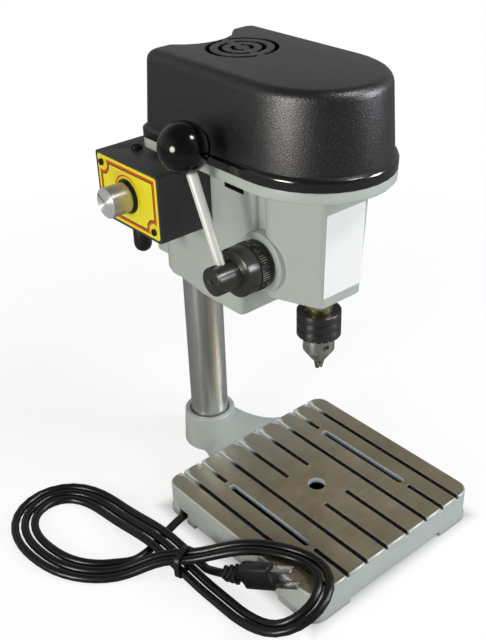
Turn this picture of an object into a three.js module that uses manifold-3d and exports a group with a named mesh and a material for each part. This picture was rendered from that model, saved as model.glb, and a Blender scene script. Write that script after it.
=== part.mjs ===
// Benchtop drill press for small work, in millimetres, +Z up.
// The floor is z = 0 and the column's axis is the line x = 0, y = 0.
// The operator stands on the -Y side. The feed lever and the control box are on the -X side.
import * as THREE from 'three';
import { mergeVertices } from 'three/addons/utils/BufferGeometryUtils.js';
import Module from 'manifold-3d';

const wasm = await Module();
wasm.setup();

// Sizes shared by the whole machine
const FIT = 0.3;
const OVERRUN = 2;
const SINK = 1;
const SLIVER = 0.05;
const THROAT = 127;
const BENCH_TO_TABLE = 26;

// Table and base casting
const TABLE_WIDTH = 161;
const TABLE_DEPTH = 160;
const TABLE_CORNER = 10;
const TABLE_CHAMFER = 1;
const TABLE_PLATE = 9;
const SKIRT_WALL = 6;
const FOOT_HEIGHT = 3;
const FOOT_LENGTH = 34;
const FOOT_WALL = 9;
const FOOT_SWELL = 0.8;
const GROOVE_WIDTH = 3.6;
const GROOVE_DEPTH = 3.2;
const GROOVE_OFFSETS = [10.5, 30.4, 48.4, 65.2];
const CENTRE_GROOVE_STOP = 20;
const SLOTTED_GROOVE_STOP = 47;
const SLOT_WIDTH = 5.6;
const SLOT_LENGTH = 84;
const TABLE_HOLE_RADIUS = 6.6;
const NECK_HALF_AT_TABLE = 43.5;
const NECK_HALF_AT_BOSS = 19;
const NECK_DROP = 2;
const NECK_CLEARANCE = 3;
const BOSS_TOP_RADIUS = 20.5;
const BOSS_FOOT_RADIUS = 22;
const BOSS_RISE = 4;
const BOSS_RECESS = 3;
const BOSS_RECESS_RADIUS = 16.6;
const BOSS_FLOOR = 4;
const CORD_NOTCH_WIDTH = 10;
const CORD_NOTCH_HEIGHT = 8;

// Column
const COLUMN_RADIUS = 15;
const COLUMN_WALL = 3;
const COLUMN_ABOVE_RIM = 22.7;
const SET_SCREW_RADIUS = 3;
const SET_SCREW_HEIGHT = 15;
const SET_SCREW_SOCKET = 1.5;
const SET_SCREW_SOCKET_DEPTH = 3;

// Head casting
const CLAMP_BOTTOM = 161;
const CLAMP_RADIUS = 24.5;
const HEAD_HALF_WIDTH = 28;
const SHOULDER_Y = -38;
const LOWER_FRONT_Y = -80;
const LOWER_CORNER = 4;
const UPPER_FRONT_Y = -96;
const UPPER_CORNER = 3;
const HOUSING_BOTTOM = 191;
const HOUSING_FRONT_Y = -147;
const HOUSING_HALF_FRONT = 18.5;
const HOUSING_HALF_SHOULDER = 29.5;
const HOUSING_SHOULDER_Y = -112;
const HOUSING_SHOULDER_ROUND = 9;
const HOUSING_HALF_NECK = 24;
const HOUSING_CORNER = 4;
const HOUSING_DRAFT = 3;
const HOUSING_FLARE = 5;
const EDGE_ROUND = 3.5;
const EDGE_FOOT_SHARE = 0.8;
const EDGE_STEP_SHARE = 0.3;
const RIM_BOTTOM = 272;
const RIM_TOP = 279.3;
const SLIT_WIDTH = 2.4;
const SLIT_TOP = 246;
const LUG_HALF_WIDTH = 13;
const LUG_REACH = 40;
const LUG_BOTTOM = 167;
const LUG_HEIGHT = 24;
const LUG_CORNER = 5;
const CLAMP_SCREW_Y = 31;
const CLAMP_SCREW_RADIUS = 3;
const CLAMP_HEAD_RADIUS = 5.5;
const CLAMP_HEAD_LENGTH = 6;
const CLAMP_SOCKET_RADIUS = 2.6;
const CLAMP_SOCKET_DEPTH = 3.5;
const SIDE_SLOT_REAR_Y = -67.5;
const SIDE_SLOT_LENGTH = 19;
const SIDE_SLOT_BOTTOM = 254.5;
const SIDE_SLOT_HEIGHT = 7.5;
const SIDE_SLOT_STEP = 2;
const SIDE_SLOT_LOW_LENGTH = 8;
const CABLE_HOLE_RADIUS = 4;
const CABLE_HOLE_Y = -30;
const CABLE_HOLE_ABOVE_BOX_FLOOR = 24.5;

// Motor and its plate
const MOTOR_Y = -56;
const MOTOR_RADIUS = 22;
const MOTOR_LENGTH = 90;
const MOTOR_END_BELL = 6;
const MOTOR_END_RADIUS = 12;
const MOTOR_NOSE_RADIUS = 7.5;
const MOTOR_NOSE_LENGTH = 5;
const MOTOR_CAVITY_RADIUS = 24.2;
const MOTOR_CAVITY_BOTTOM = 180;
const POCKET_HALF_WIDTH = 20;
const POCKET_FRONT_Y = -94;
const POCKET_BOTTOM = 238;
const PLATE_THICKNESS = 2;
const PLATE_HALF = 30;
const PLATE_CORNER = 5;
const PLATE_RELIEF = 5;
const PLATE_SCREW_INSET = 5;
const PLATE_SCREW_RADIUS = 1.8;
const PLATE_SCREW_HEAD = 3.4;
const PLATE_SCREW_HEAD_HEIGHT = 2.2;
const PLATE_SCREW_DEPTH = 6;
const MOTOR_SHAFT_RADIUS = 2.5;
const MOTOR_SHAFT_RISE = 13;

// Belt drive
const BELT_ABOVE_RIM = 16.7;
const BELT_TOP_WIDTH = 8;
const BELT_BOTTOM_WIDTH = 5;
const BELT_HEIGHT = 4.5;
const PULLEY_WIDTH = 14;
const PULLEY_LIP = 1;
const SPINDLE_PULLEY_RADIUS = 24;
const MOTOR_PULLEY_RADIUS = 14;
const SPINDLE_PULLEY_HUB = 8;
const SPINDLE_PULLEY_RISE = 22;
const PULLEY_COLLAR_RADIUS = 11;
const MOTOR_PULLEY_HUB = 6;
const PULLEY_BEARING_RADIUS = 15;
const PULLEY_BEARING_HEIGHT = 9;
const PULLEY_BORE_STEP = 12;

// Belt cover
const COVER_HALF_WIDTH = 50.5;
const COVER_ROUND_Y = -117;
const COVER_FRONT_REACH = 57;
const COVER_REAR_Y = -7;
const COVER_REAR_CORNER = 8;
const COVER_RECESS_RADIUS = 27.5;
const COVER_RECESS_FILLET = 6;
const COVER_ABOVE_RIM = 56.7;
const COVER_FLANGE_HEIGHT = 7;
const COVER_FLANGE_STEP = 2.6;
const COVER_DRAFT = 2.6;
const COVER_TOP_ROUND = 6.5;
const COVER_WALL = 2.4;
const COVER_RECESS_SHARE = 0.4;
const COVER_CORNER_SHARE = 0.4;
const COVER_ROOF_SHARE = 0.7;
const COVER_CORNER_LEAST = 3;
const COVER_FILLET_LEAST = 2;
const VENT_Y = -56;
const VENT_RADII = [6, 14, 22];
const VENT_SLOT = 3;
const VENT_BRIDGE = 4.5;
const VENT_BRIDGE_DEGREES = 80;

// Quill, spindle and their bearings
const QUILL_RADIUS = 15;
const QUILL_BOTTOM = 189;
const QUILL_TOP = 262;
const QUILL_BORE = 7;
const BEARING_RADIUS = 10.5;
const BEARING_HEIGHT = 8;
const BEARING_LAND = 3;
const SPINDLE_RADIUS = 5;
const SPINDLE_BOTTOM = 162;
const SPINDLE_ABOVE_PULLEY = 7;
const KEYWAY_WIDTH = 3;
const KEYWAY_DEPTH = 2;
const KEYWAY_BOTTOM = 196;
const KEYWAY_TOP = 236;
const KEY_SCREW_Z = 202;
const KEY_SCREW_SEAT = 22;
const KEY_SCREW_RADIUS = 2.2;
const KEY_SCREW_TIP = 1.2;
const KEY_SCREW_HEAD = 4;
const KEY_SCREW_HEAD_HEIGHT = 3;
const NUT_RADIUS = 9.7;
const NUT_CHAMFER = 1.2;

// Feed pinion and rack
const MODULE = 1.5;
const PINION_TEETH = 14;
const PRESSURE_ANGLE = 20;
const BACKLASH = 0.45;
const RACK_PITCH_LINE = 13;
const RACK_ADDENDUM = 1.15;
const RACK_DEDENDUM = 1.8;
const RACK_BOTTOM = 203;
const RACK_TOP = 254;
const RACK_HALF_WIDTH = 7.5;
const PINION_ADDENDUM = 1.4;
const PINION_DEDENDUM = 1.7;
const PINION_HALF_WIDTH = 6;
const FEED_Z = 214;
const PINION_SHAFT_RADIUS = 6.5;
const SPRING_SHAFT_RADIUS = 5.5;

// Feed hub, depth ring, lever and ball, measured outwards from the machine's middle plane
const FEED_BOSS_RADIUS = 20.5;
const FEED_BOSS_FACE = 31;
const FEED_BOSS_ROUND = 1.5;
const DEPTH_RING_RADIUS = 16;
const DEPTH_RING_LENGTH = 11.4;
const HUB_NECK_RADIUS = 11;
const COLLAR_RADIUS = 16.3;
const COLLAR_LENGTH = 10;
const COLLAR_CHAMFER = 1;
const HUB_RADIUS = 9.5;
const HUB_FACE = 70;
const HUB_CENTRE_RADIUS = 1.2;
const HUB_CENTRE_DEPTH = 2;
const HUB_BORE_END = 56;
const BUSH_RADIUS = 9.5;
const RIGHT_BUSH_START = 11;
const LEVER_FROM_MIDDLE = 60;
const LEVER_LEAN_DEGREES = 15.9;
const LEVER_OUT_DEGREES = 5.4;
const LEVER_BALL_REACH = 84.6;
const LEVER_FOOT = 4.5;
const LEVER_FOOT_RADIUS = 3.2;
const LEVER_TOP_RADIUS = 3.5;
const LEVER_IN_BALL = 8;
const BALL_RADIUS = 16;
const BALL_SEAT_RADIUS = 6;

// Return spring and its housing on the far side
const SPRING_BOSS_RADIUS = 21;
const SPRING_BOSS_FACE = 31;
const SPRING_CAP_RADIUS = 21;
const SPRING_CAP_LENGTH = 15;
const SPRING_CAP_WALL = 2;
const SPRING_CAP_ROUND = 3;
const SPRING_STRIP = 0.8;
const SPRING_WIDTH = 8;
const SPRING_TURNS = 4;
const SPRING_STEPS = 20;
const BORE_RIGHT_RADIUS = 12.7;

// Chuck, measured up from the jaws' nose
const CHUCK_NOSE = 132;
const CHUCK_CONE_BOTTOM = 139;
const CHUCK_CONE_RADIUS = 5.2;
const CHUCK_BODY_BOTTOM = 147;
const CHUCK_BODY_RADIUS = 10.8;
const CHUCK_SLEEVE_BOTTOM = 159;
const CHUCK_SLEEVE_TOP = 177.6;
const CHUCK_SLEEVE_RADIUS = 15.1;
const CHUCK_SLEEVE_ROOM = 12.9;
const CHUCK_SLEEVE_LID = 4;
const CHUCK_CORE_RADIUS = 9.2;
const SLEEVE_GROOVE_DEPTH = 0.6;
const SLEEVE_GROOVE_HEIGHT = 1.6;
const SLEEVE_GROOVES = [5.5, 12];
const SLEEVE_CHAMFER = 0.8;
const KEY_TEETH = 20;
const KEY_TOOTH_DEPTH = 1.7;
const KEY_TOOTH_HALF = 1.3;
const KEY_HOLE_RADIUS = 2.3;
const KEY_HOLE_Z = 152;
const KEY_HOLE_DEPTH = 4;
const KEY_HOLE_DEGREES = -106;
const JAW_ANGLE = 14;
const JAW_RADIUS = 1.9;
const JAW_LENGTH = 32;
const JAW_NOSE_OFFSET = 0.9;
const JAW_PARTING = 0.4;
const JAW_DEGREES = -46;
const JAW_BORE_SLACK = 0.25;
const DRILL_BORE_RADIUS = 2.2;
const DRILL_BORE_TOP = 150;
const RING_NUT_HEIGHT = 4;

// Control box and what it holds
const BOX_FACE_X = -70.3;
const BOX_REAR_Y = 17;
const BOX_FRONT_Y = -53;
const BOX_BOTTOM = 221.5;
const BOX_HEIGHT = 47;
const BOX_WALL = 2.5;
const BOX_CORNER = 2;
const PANEL_THICKNESS = 1.7;
const PANEL_INSET = 1.8;
const PANEL_SCREW_INSET = 7;
const PANEL_SCREW_HEAD = 2.5;
const PANEL_SCREW_HEAD_HEIGHT = 1.2;
const PANEL_SCREW_RADIUS = 1.3;
const PANEL_SCREW_LENGTH = 9;
const PANEL_POST_RADIUS = 5.2;
const PANEL_POST_LENGTH = 14;
const TOP_SCREW_X = -48.8;
const TOP_SCREW_Y = -1;
const TOP_SCREW_HEAD = 4.1;
const TOP_SCREW_HEAD_HEIGHT = 2.8;
const TOP_SCREW_RADIUS = 1.5;
const TOP_SCREW_LENGTH = 7;
const KNOB_Y = -17.5;
const KNOB_ABOVE_BOX_FLOOR = 23.5;
const KNOB_RADIUS = 10.4;
const KNOB_LENGTH = 15.2;
const KNOB_CHAMFER = 0.8;
const KNOB_SKIRT_RADIUS = 12;
const KNOB_SKIRT_HEIGHT = 1.8;
const KNOB_SHAFT_RADIUS = 3;
const KNOB_BORE_DEPTH = 9;
const POT_RADIUS = 8;
const POT_LENGTH = 9;
const BOARD_THICKNESS = 1.6;
const BOARD_MARGIN = 4;
const BOARD_STANDOFF = 7;
const STANDOFF_RADIUS = 2.5;
const STANDOFF_INSET = 6;
const CAPACITOR_RADIUS = 5;
const CAPACITOR_LENGTH = 11;
const HEATSINK_WIDTH = 18;
const HEATSINK_HEIGHT = 14;
const HEATSINK_DEPTH = 8;
const FUSE_X = -60;
const FUSE_Y = -15;
const FUSE_HOLDER_RADIUS = 5.2;
const FUSE_HOLDER_LENGTH = 11;
const FUSE_CAP_RADIUS = 6.2;
const FUSE_CAP_LENGTH = 20.5;
const FUSE_CAP_ROUND = 6;
const FUSE_STEM_RADIUS = 3.2;
const FUSE_STEM_LENGTH = 8;

// Cord outlet behind the column
const OUTLET_DEGREES = 50.3;
const OUTLET_REACH = 38;
const OUTLET_RADIUS = 9;
const OUTLET_BOTTOM = 212;
const OUTLET_HEIGHT = 26;
const GLAND_STEM_RADIUS = 5;
const GLAND_STEM_LENGTH = 9;
const GLAND_FLANGE_RADIUS = 7.5;
const GLAND_FLANGE_HEIGHT = 2.5;
const GLAND_NECK_RADIUS = 5.6;
const GLAND_END_RADIUS = 3.9;
const GLAND_LENGTH = 25;

// Mains lead. The route's points are chosen by hand: the x and y of the drop come from the outlet.
const CORD_DIAMETER = 6;
const CORD_RADIUS = CORD_DIAMETER / 2;
const CORD_SIDES = 8;
const DROP_END_Z = 62;
const DROP_STEPS = 8;
const FLOOR_STRETCH = [
	[24.3, 29.3, 61.7], [24.3, 29.3, 45], [24.3, 29.3, 27], [25.3, 26.3, 15], [28.1, 17.9, 6.4],
	[32, 6.5, 3.5], [37, -9, 3.1], [44, -27, 3], [51.5, -43, 3], [53.5, -58, 3], [46, -73, 3], [28, -81, 3],
	[0, -79, 3], [-30, -71.5, 3], [-60, -66, 3], [-82, -67, 3], [-96, -70.5, 3],
	[-110, -75, 3], [-123, -78.8, 3], [-135, -78.8, 3],
];
const FLOOR_STRETCH_STEPS = 48;
const LEFT_NOTCH_Y = -67;
const REAR_NOTCH_X = 53;

// Hank of the lead: a bow whose strands lie side by side. Each guide point is x, y and its rise.
// One lobe lies on the floor, the other over the table's corner, and the strands cross at the tie.
const HANK_GUIDE = [
	[-146, -84, 0], [-164, -70, 0], [-176, -52, 0], [-181, -30, 0], [-181.5, -6, 0],
	[-171.5, 15, 0], [-150, 23.5, 0], [-128.5, 15, 0], [-118.5, -6, 0], [-117, -30, 0.5],
	[-115.5, -54, 4], [-114, -80, 8.6], [-112.5, -106, 3.8], [-111.5, -130, 0], [-111, -152, -1],
	[-110.5, -171, 0], [-110, -188, 5], [-106.8, -200.8, 10.5], [-97.8, -209.6, 17],
	[-85.3, -213, 23.2], [-73, -209.6, 27.6], [-64, -200.8, 29.4], [-60.5, -188, 28.6],
	[-63, -172, 27], [-72, -156.5, 27], [-84, -142.5, 27.5], [-97, -128.5, 21],
	[-109, -113.5, 12.2], [-124, -98.5, 13.5],
];
const HANK_GUIDE_STEPS = 6;
const HANK_PITCH = 7.3;
const HANK_FIRST_TURN = 0.03;
const HANK_LAST_TURN = 2.49;
const HANK_MIDDLE_TURN = 1.2;
const HANK_STEPS_PER_TURN = 48;
const HANK_SIDES = 6;
const HANK_ENTRY_DEGREES = 8;
const TIE_X = -110.6;
const TIE_Y = -109.2;
const TIE_TURN_DEGREES = 22;
const TIE_BAND = 4;
const TIE_THICKNESS = 0.9;
const TIE_INNER_RADIUS = 4.4;
const TIE_ROUND_STEPS = 16;
const PLUG_START = [-99.5, -143, 14];
const PLUG_TIP = [-82.2, -191.5, 35.2];
const PLUG_RELIEF_LENGTH = 12;
const PLUG_RELIEF_RADIUS = 4.4;
const PLUG_BODY_LENGTH = 26;
const PLUG_WIDTH = 19;
const PLUG_THICKNESS = 10;
const PLUG_CORNER = 3;
const PLUG_NOSE_SHRINK = 1;
const BLADE_SPACING = 12.7;
const BLADE_WIDTH = 1.5;
const BLADE_HEIGHT = 6.3;
const BLADE_ROOT = 0.3;
const TAIL_STEPS = 6;

// Facets round a full turn
const FINE = 32;
const MEDIUM = 20;
const COARSE = 12;
const SMALL = 8;
const COVER_FRONT_STEPS = 18;

// Places worked out from the sizes above
const SPINDLE_Y = -THROAT;
const PINION_PITCH_RADIUS = (MODULE * PINION_TEETH) / 2;
const FEED_Y = SPINDLE_Y + RACK_PITCH_LINE + PINION_PITCH_RADIUS;
const TABLE_REAR_Y = SPINDLE_Y + TABLE_DEPTH / 2;
const TABLE_FRONT_Y = SPINDLE_Y - TABLE_DEPTH / 2;
const COVER_BOTTOM = RIM_TOP + FIT;
const COVER_TOP = RIM_TOP + COVER_ABOVE_RIM;
const COLUMN_TOP = RIM_TOP + COLUMN_ABOVE_RIM;
const BELT_PLANE = RIM_TOP + BELT_ABOVE_RIM;
const MOTOR_SHAFT_TOP = BELT_PLANE + MOTOR_SHAFT_RISE;
const SPINDLE_PULLEY_TOP = BELT_PLANE + SPINDLE_PULLEY_RISE;
const SPINDLE_TOP = SPINDLE_PULLEY_TOP + SPINDLE_ABOVE_PULLEY;
const BOX_TOP = BOX_BOTTOM + BOX_HEIGHT;
const KNOB_Z = BOX_BOTTOM + KNOB_ABOVE_BOX_FLOOR;
const CABLE_HOLE_Z = BOX_BOTTOM + CABLE_HOLE_ABOVE_BOX_FLOOR;
const COLUMN_BOTTOM = BOSS_FLOOR + FIT;
const BOX_BACK_X = -(HEAD_HALF_WIDTH + FIT);
const BOX_OPEN_X = BOX_FACE_X + PANEL_THICKNESS + FIT;
const OUTLET_X = OUTLET_REACH * Math.cos(THREE.MathUtils.degToRad(OUTLET_DEGREES));
const OUTLET_Y = OUTLET_REACH * Math.sin(THREE.MathUtils.degToRad(OUTLET_DEGREES));

// Materials
function paint(color, roughness, metalness) {
	return new THREE.MeshStandardMaterial({ color, roughness, metalness });
}
const CAST_PAINT = paint(0xa3aaa4, 0.45, 0.1);
const POLISHED_STEEL = paint(0xc9c5bd, 0.25, 1);
const DARK_STEEL = paint(0x2b2b2e, 0.4, 0.8);
const BRIGHT_STEEL = paint(0xb9b8b4, 0.3, 1);
const GILT_STEEL = paint(0xb79a55, 0.3, 1);
const ALUMINIUM = paint(0xb4b6b8, 0.35, 1);
const COVER_PLASTIC = paint(0x2a2a2c, 0.5, 0);
const GLOSS_PLASTIC = paint(0x0c0c0e, 0.15, 0);
const BOX_PLASTIC = paint(0x29292b, 0.55, 0);
const PANEL_YELLOW = paint(0xd2cb23, 0.5, 0);
const RUBBER = paint(0x161616, 0.6, 0);
const BOARD_GREEN = paint(0x1d5b35, 0.5, 0);
const BELT_RUBBER = paint(0x1b1b1b, 0.8, 0);
const BRASS = paint(0xb08d4c, 0.35, 1);

// Geometry helpers

// Leaves only shared positions, drops faces of no area and turns the faces outwards.
function closed(geometry) {
	let bare = geometry.index ? geometry.toNonIndexed() : geometry.clone();
	for (const name of Object.keys(bare.attributes)) {
		if (name !== 'position') bare.deleteAttribute(name);
	}
	bare = mergeVertices(bare);
	const corners = bare.index.array;
	const at = bare.attributes.position;
	const kept = [];
	let volume = 0;
	const a = new THREE.Vector3();
	const b = new THREE.Vector3();
	const c = new THREE.Vector3();
	for (let i = 0; i < corners.length; i += 3) {
		const [p, q, r] = [corners[i], corners[i + 1], corners[i + 2]];
		if (p === q || q === r || r === p) continue;
		kept.push(p, q, r);
		a.fromBufferAttribute(at, p);
		b.fromBufferAttribute(at, q);
		c.fromBufferAttribute(at, r);
		volume += a.dot(b.cross(c));
	}
	if (volume < 0) kept.reverse();
	bare.setIndex(kept);
	return bare;
}

function toSolid(geometry) {
	const bare = closed(geometry);
	return new wasm.Manifold(new wasm.Mesh({
		numProp: 3,
		vertProperties: new Float32Array(bare.attributes.position.array),
		triVerts: new Uint32Array(bare.index.array),
	}));
}

function toGeometry(solid) {
	const mesh = solid.getMesh();
	const geometry = new THREE.BufferGeometry();
	const count = mesh.vertProperties.length / mesh.numProp;
	const positions = new Float32Array(count * 3);
	for (let i = 0; i < count; i++) {
		for (let k = 0; k < 3; k++) positions[3 * i + k] = mesh.vertProperties[mesh.numProp * i + k];
	}
	geometry.setAttribute('position', new THREE.BufferAttribute(positions, 3));
	geometry.setIndex(Array.from(mesh.triVerts));
	return geometry;
}

function join(...geometries) {
	return toGeometry(geometries.map(toSolid).reduce((sum, solid) => sum.add(solid)));
}

function cut(geometry, ...tools) {
	return toGeometry(tools.map(toSolid).reduce((rest, tool) => rest.subtract(tool), toSolid(geometry)));
}

function common(geometry, other) {
	return toGeometry(toSolid(geometry).intersect(toSolid(other)));
}

// A prism on a flat outline of [x, y] points, between two heights.
function prism(outline, bottom, top) {
	const shape = new THREE.Shape(outline.map(([x, y]) => new THREE.Vector2(x, y)));
	const geometry = new THREE.ExtrudeGeometry(shape, { depth: top - bottom, bevelEnabled: false });
	return geometry.translate(0, 0, bottom);
}

// A box given by its lowest and highest corners.
function block(low, high) {
	const size = high.map((value, k) => value - low[k]);
	const geometry = new THREE.BoxGeometry(...size);
	return geometry.translate(...low.map((value, k) => value + size[k] / 2));
}

// A cylinder between two heights on a line parallel to Z.
function disc(radius, bottom, top, sides = FINE, x = 0, y = 0) {
	const geometry = new THREE.CylinderGeometry(radius, radius, top - bottom, sides);
	return geometry.rotateX(Math.PI / 2).translate(x, y, (bottom + top) / 2);
}

// A cylinder along X between two places, on the line through y and z.
function crossbar(radius, from, to, y, z, sides = MEDIUM) {
	const geometry = new THREE.CylinderGeometry(radius, radius, Math.abs(to - from), sides);
	return geometry.rotateZ(Math.PI / 2).translate((from + to) / 2, y, z);
}

// A turned piece on the Z axis from a closed profile of [radius, height] points.
function turned(profile, sides = FINE) {
	const points = [...profile, profile[0]].map(([radius, height]) => new THREE.Vector2(radius, height));
	return new THREE.LatheGeometry(points, sides).rotateX(Math.PI / 2);
}

// A closed skin over outlines of equal count at rising heights.
function loft(sections) {
	const count = sections[0].outline.length;
	const positions = [];
	for (const { outline, z } of sections) {
		for (const [x, y] of outline) positions.push(x, y, z);
	}
	const index = [];
	for (let s = 0; s + 1 < sections.length; s++) {
		for (let i = 0; i < count; i++) {
			const j = (i + 1) % count;
			const [a, b, c, d] = [s * count + i, s * count + j, (s + 1) * count + j, (s + 1) * count + i];
			index.push(a, b, c, a, c, d);
		}
	}
	const cap = (s, reversed) => {
		const flat = sections[s].outline.map(([x, y]) => new THREE.Vector2(x, y));
		for (const [a, b, c] of THREE.ShapeUtils.triangulateShape(flat, [])) {
			const face = reversed ? [c, b, a] : [a, b, c];
			index.push(...face.map((k) => s * count + k));
		}
	};
	cap(0, true);
	cap(sections.length - 1, false);
	const geometry = new THREE.BufferGeometry();
	geometry.setAttribute('position', new THREE.Float32BufferAttribute(positions, 3));
	geometry.setIndex(index);
	return geometry;
}

// Points along an arc, in degrees, both ends included.
function arc(x, y, radius, from, to, steps) {
	const points = [];
	for (let i = 0; i <= steps; i++) {
		const angle = THREE.MathUtils.degToRad(from + ((to - from) * i) / steps);
		points.push([x + radius * Math.cos(angle), y + radius * Math.sin(angle)]);
	}
	return points;
}

// A rectangle with round corners, counter-clockwise.
function roundedBox(low, high, corner, steps = 4) {
	return [
		...arc(high[0] - corner, high[1] - corner, corner, 0, 90, steps),
		...arc(low[0] + corner, high[1] - corner, corner, 90, 180, steps),
		...arc(low[0] + corner, low[1] + corner, corner, 180, 270, steps),
		...arc(high[0] - corner, low[1] + corner, corner, 270, 360, steps),
	];
}

// A skin swept along a closed flat path, its section given as [outwards, up] points.
function sweptLoop(path, section) {
	const positions = [];
	const count = section.length;
	path.forEach(([x, y], i) => {
		const [xa, ya] = path[(i + path.length - 1) % path.length];
		const [xb, yb] = path[(i + 1) % path.length];
		const length = Math.hypot(xb - xa, yb - ya);
		const [nx, ny] = [(yb - ya) / length, (xa - xb) / length];
		for (const [out, up] of section) positions.push(x + nx * out, y + ny * out, up);
	});
	const index = [];
	for (let i = 0; i < path.length; i++) {
		const next = (i + 1) % path.length;
		for (let k = 0; k < count; k++) {
			const m = (k + 1) % count;
			const [a, b, c, d] = [i * count + k, i * count + m, next * count + m, next * count + k];
			index.push(a, b, c, a, c, d);
		}
	}
	const geometry = new THREE.BufferGeometry();
	geometry.setAttribute('position', new THREE.Float32BufferAttribute(positions, 3));
	geometry.setIndex(index);
	return geometry;
}

// A closed tube through centre points, its sections upright across the run.
function tubeThrough(points, radius, sides) {
	const positions = [];
	const up = new THREE.Vector3(0, 0, 1);
	points.forEach((point, i) => {
		const before = points[Math.max(i - 1, 0)];
		const after = points[Math.min(i + 1, points.length - 1)];
		const along = after.clone().sub(before).normalize();
		const aside = along.clone().cross(up).normalize();
		const above = aside.clone().cross(along);
		for (let k = 0; k < sides; k++) {
			const angle = ((k + 0.5) / sides) * 2 * Math.PI;
			const corner = point.clone();
			corner.addScaledVector(aside, radius * Math.cos(angle));
			corner.addScaledVector(above, radius * Math.sin(angle));
			positions.push(...corner.toArray());
		}
	});
	const index = [];
	for (let i = 0; i + 1 < points.length; i++) {
		for (let k = 0; k < sides; k++) {
			const m = (k + 1) % sides;
			const [a, b, c, d] = [i * sides + k, i * sides + m, (i + 1) * sides + m, (i + 1) * sides + k];
			index.push(a, b, c, a, c, d);
		}
	}
	const last = (points.length - 1) * sides;
	for (let k = 1; k + 1 < sides; k++) {
		index.push(0, k + 1, k);
		index.push(last, last + k, last + k + 1);
	}
	const geometry = new THREE.BufferGeometry();
	geometry.setAttribute('position', new THREE.Float32BufferAttribute(positions, 3));
	geometry.setIndex(index);
	return geometry;
}

// A round cord extruded along a smooth curve.
function cordAlong(points, steps) {
	const section = new THREE.Shape(arc(0, 0, CORD_RADIUS, 0, 360, CORD_SIDES).slice(0, -1)
		.map(([x, y]) => new THREE.Vector2(x, y)));
	const extrudePath = new THREE.CatmullRomCurve3(points.map((point) => new THREE.Vector3(...point)));
	return new THREE.ExtrudeGeometry(section, { steps, extrudePath, bevelEnabled: false });
}

const machine = new THREE.Group();

function add(group, name, geometry, material) {
	const mesh = new THREE.Mesh(closed(geometry), material);
	mesh.name = name;
	group.add(mesh);
	return mesh;
}

function groupAt(x, y, z) {
	const group = new THREE.Group();
	group.position.set(x, y, z);
	machine.add(group);
	return group;
}

// Table and base

function tableOutline(inset) {
	const half = TABLE_WIDTH / 2 - inset;
	const corner = TABLE_CORNER - inset;
	return roundedBox([-half, TABLE_FRONT_Y + inset], [half, TABLE_REAR_Y - inset], corner);
}

function neckOutline() {
	const flare = new THREE.QuadraticBezierCurve(
		new THREE.Vector2(NECK_HALF_AT_TABLE, TABLE_REAR_Y - SINK),
		new THREE.Vector2(NECK_HALF_AT_BOSS + BOSS_RISE, TABLE_REAR_Y + BOSS_RISE),
		new THREE.Vector2(NECK_HALF_AT_BOSS, -NECK_HALF_AT_BOSS / 2),
	);
	const right = flare.getPoints(6).map((point) => [point.x, point.y]);
	const left = right.map(([x, y]) => [-x, y]).reverse();
	return [...right, ...left];
}

function baseCasting() {
	const top = BENCH_TO_TABLE;
	const shell = loft([
		{ outline: tableOutline(0), z: FOOT_HEIGHT },
		{ outline: tableOutline(0), z: top - TABLE_CHAMFER },
		{ outline: tableOutline(TABLE_CHAMFER), z: top },
	]);
	const hollow = prism(tableOutline(SKIRT_WALL), -OVERRUN, top - TABLE_PLATE);
	const footRing = cut(
		prism(tableOutline(-FOOT_SWELL), 0, FOOT_HEIGHT + SINK),
		prism(tableOutline(FOOT_WALL), -OVERRUN, FOOT_HEIGHT + OVERRUN + SINK),
	);
	const half = TABLE_WIDTH / 2 + OVERRUN;
	const waist = TABLE_WIDTH / 2 - FOOT_LENGTH;
	const depth = TABLE_DEPTH / 2 - FOOT_LENGTH;
	const feet = cut(
		footRing,
		block([-waist, TABLE_FRONT_Y - OVERRUN, -OVERRUN], [waist, TABLE_REAR_Y + OVERRUN, top]),
		block([-half, SPINDLE_Y - depth, -OVERRUN], [half, SPINDLE_Y + depth, top]),
	);
	const neck = prism(neckOutline(), NECK_CLEARANCE, top - NECK_DROP);
	const boss = turned([
		[0, 0], [BOSS_FOOT_RADIUS, 0], [BOSS_TOP_RADIUS, top + BOSS_RISE - TABLE_CHAMFER],
		[BOSS_TOP_RADIUS - TABLE_CHAMFER, top + BOSS_RISE], [0, top + BOSS_RISE],
	]);
	const socket = turned([
		[0, BOSS_FLOOR], [COLUMN_RADIUS + FIT, BOSS_FLOOR],
		[COLUMN_RADIUS + FIT, top + BOSS_RISE - BOSS_RECESS],
		[BOSS_RECESS_RADIUS, top + BOSS_RISE - BOSS_RECESS],
		[BOSS_RECESS_RADIUS, top + BOSS_RISE + OVERRUN], [0, top + BOSS_RISE + OVERRUN],
	]);
	const setScrewHole = new THREE.CylinderGeometry(
		SET_SCREW_RADIUS + FIT, SET_SCREW_RADIUS + FIT, BOSS_FOOT_RADIUS, COARSE,
	).translate(0, COLUMN_RADIUS - OVERRUN + BOSS_FOOT_RADIUS / 2, SET_SCREW_HEIGHT);
	const tools = [socket, setScrewHole, ...tableCuts(), ...cordNotches()];
	return cut(join(cut(shell, hollow), feet, neck, boss), ...tools);
}

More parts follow.
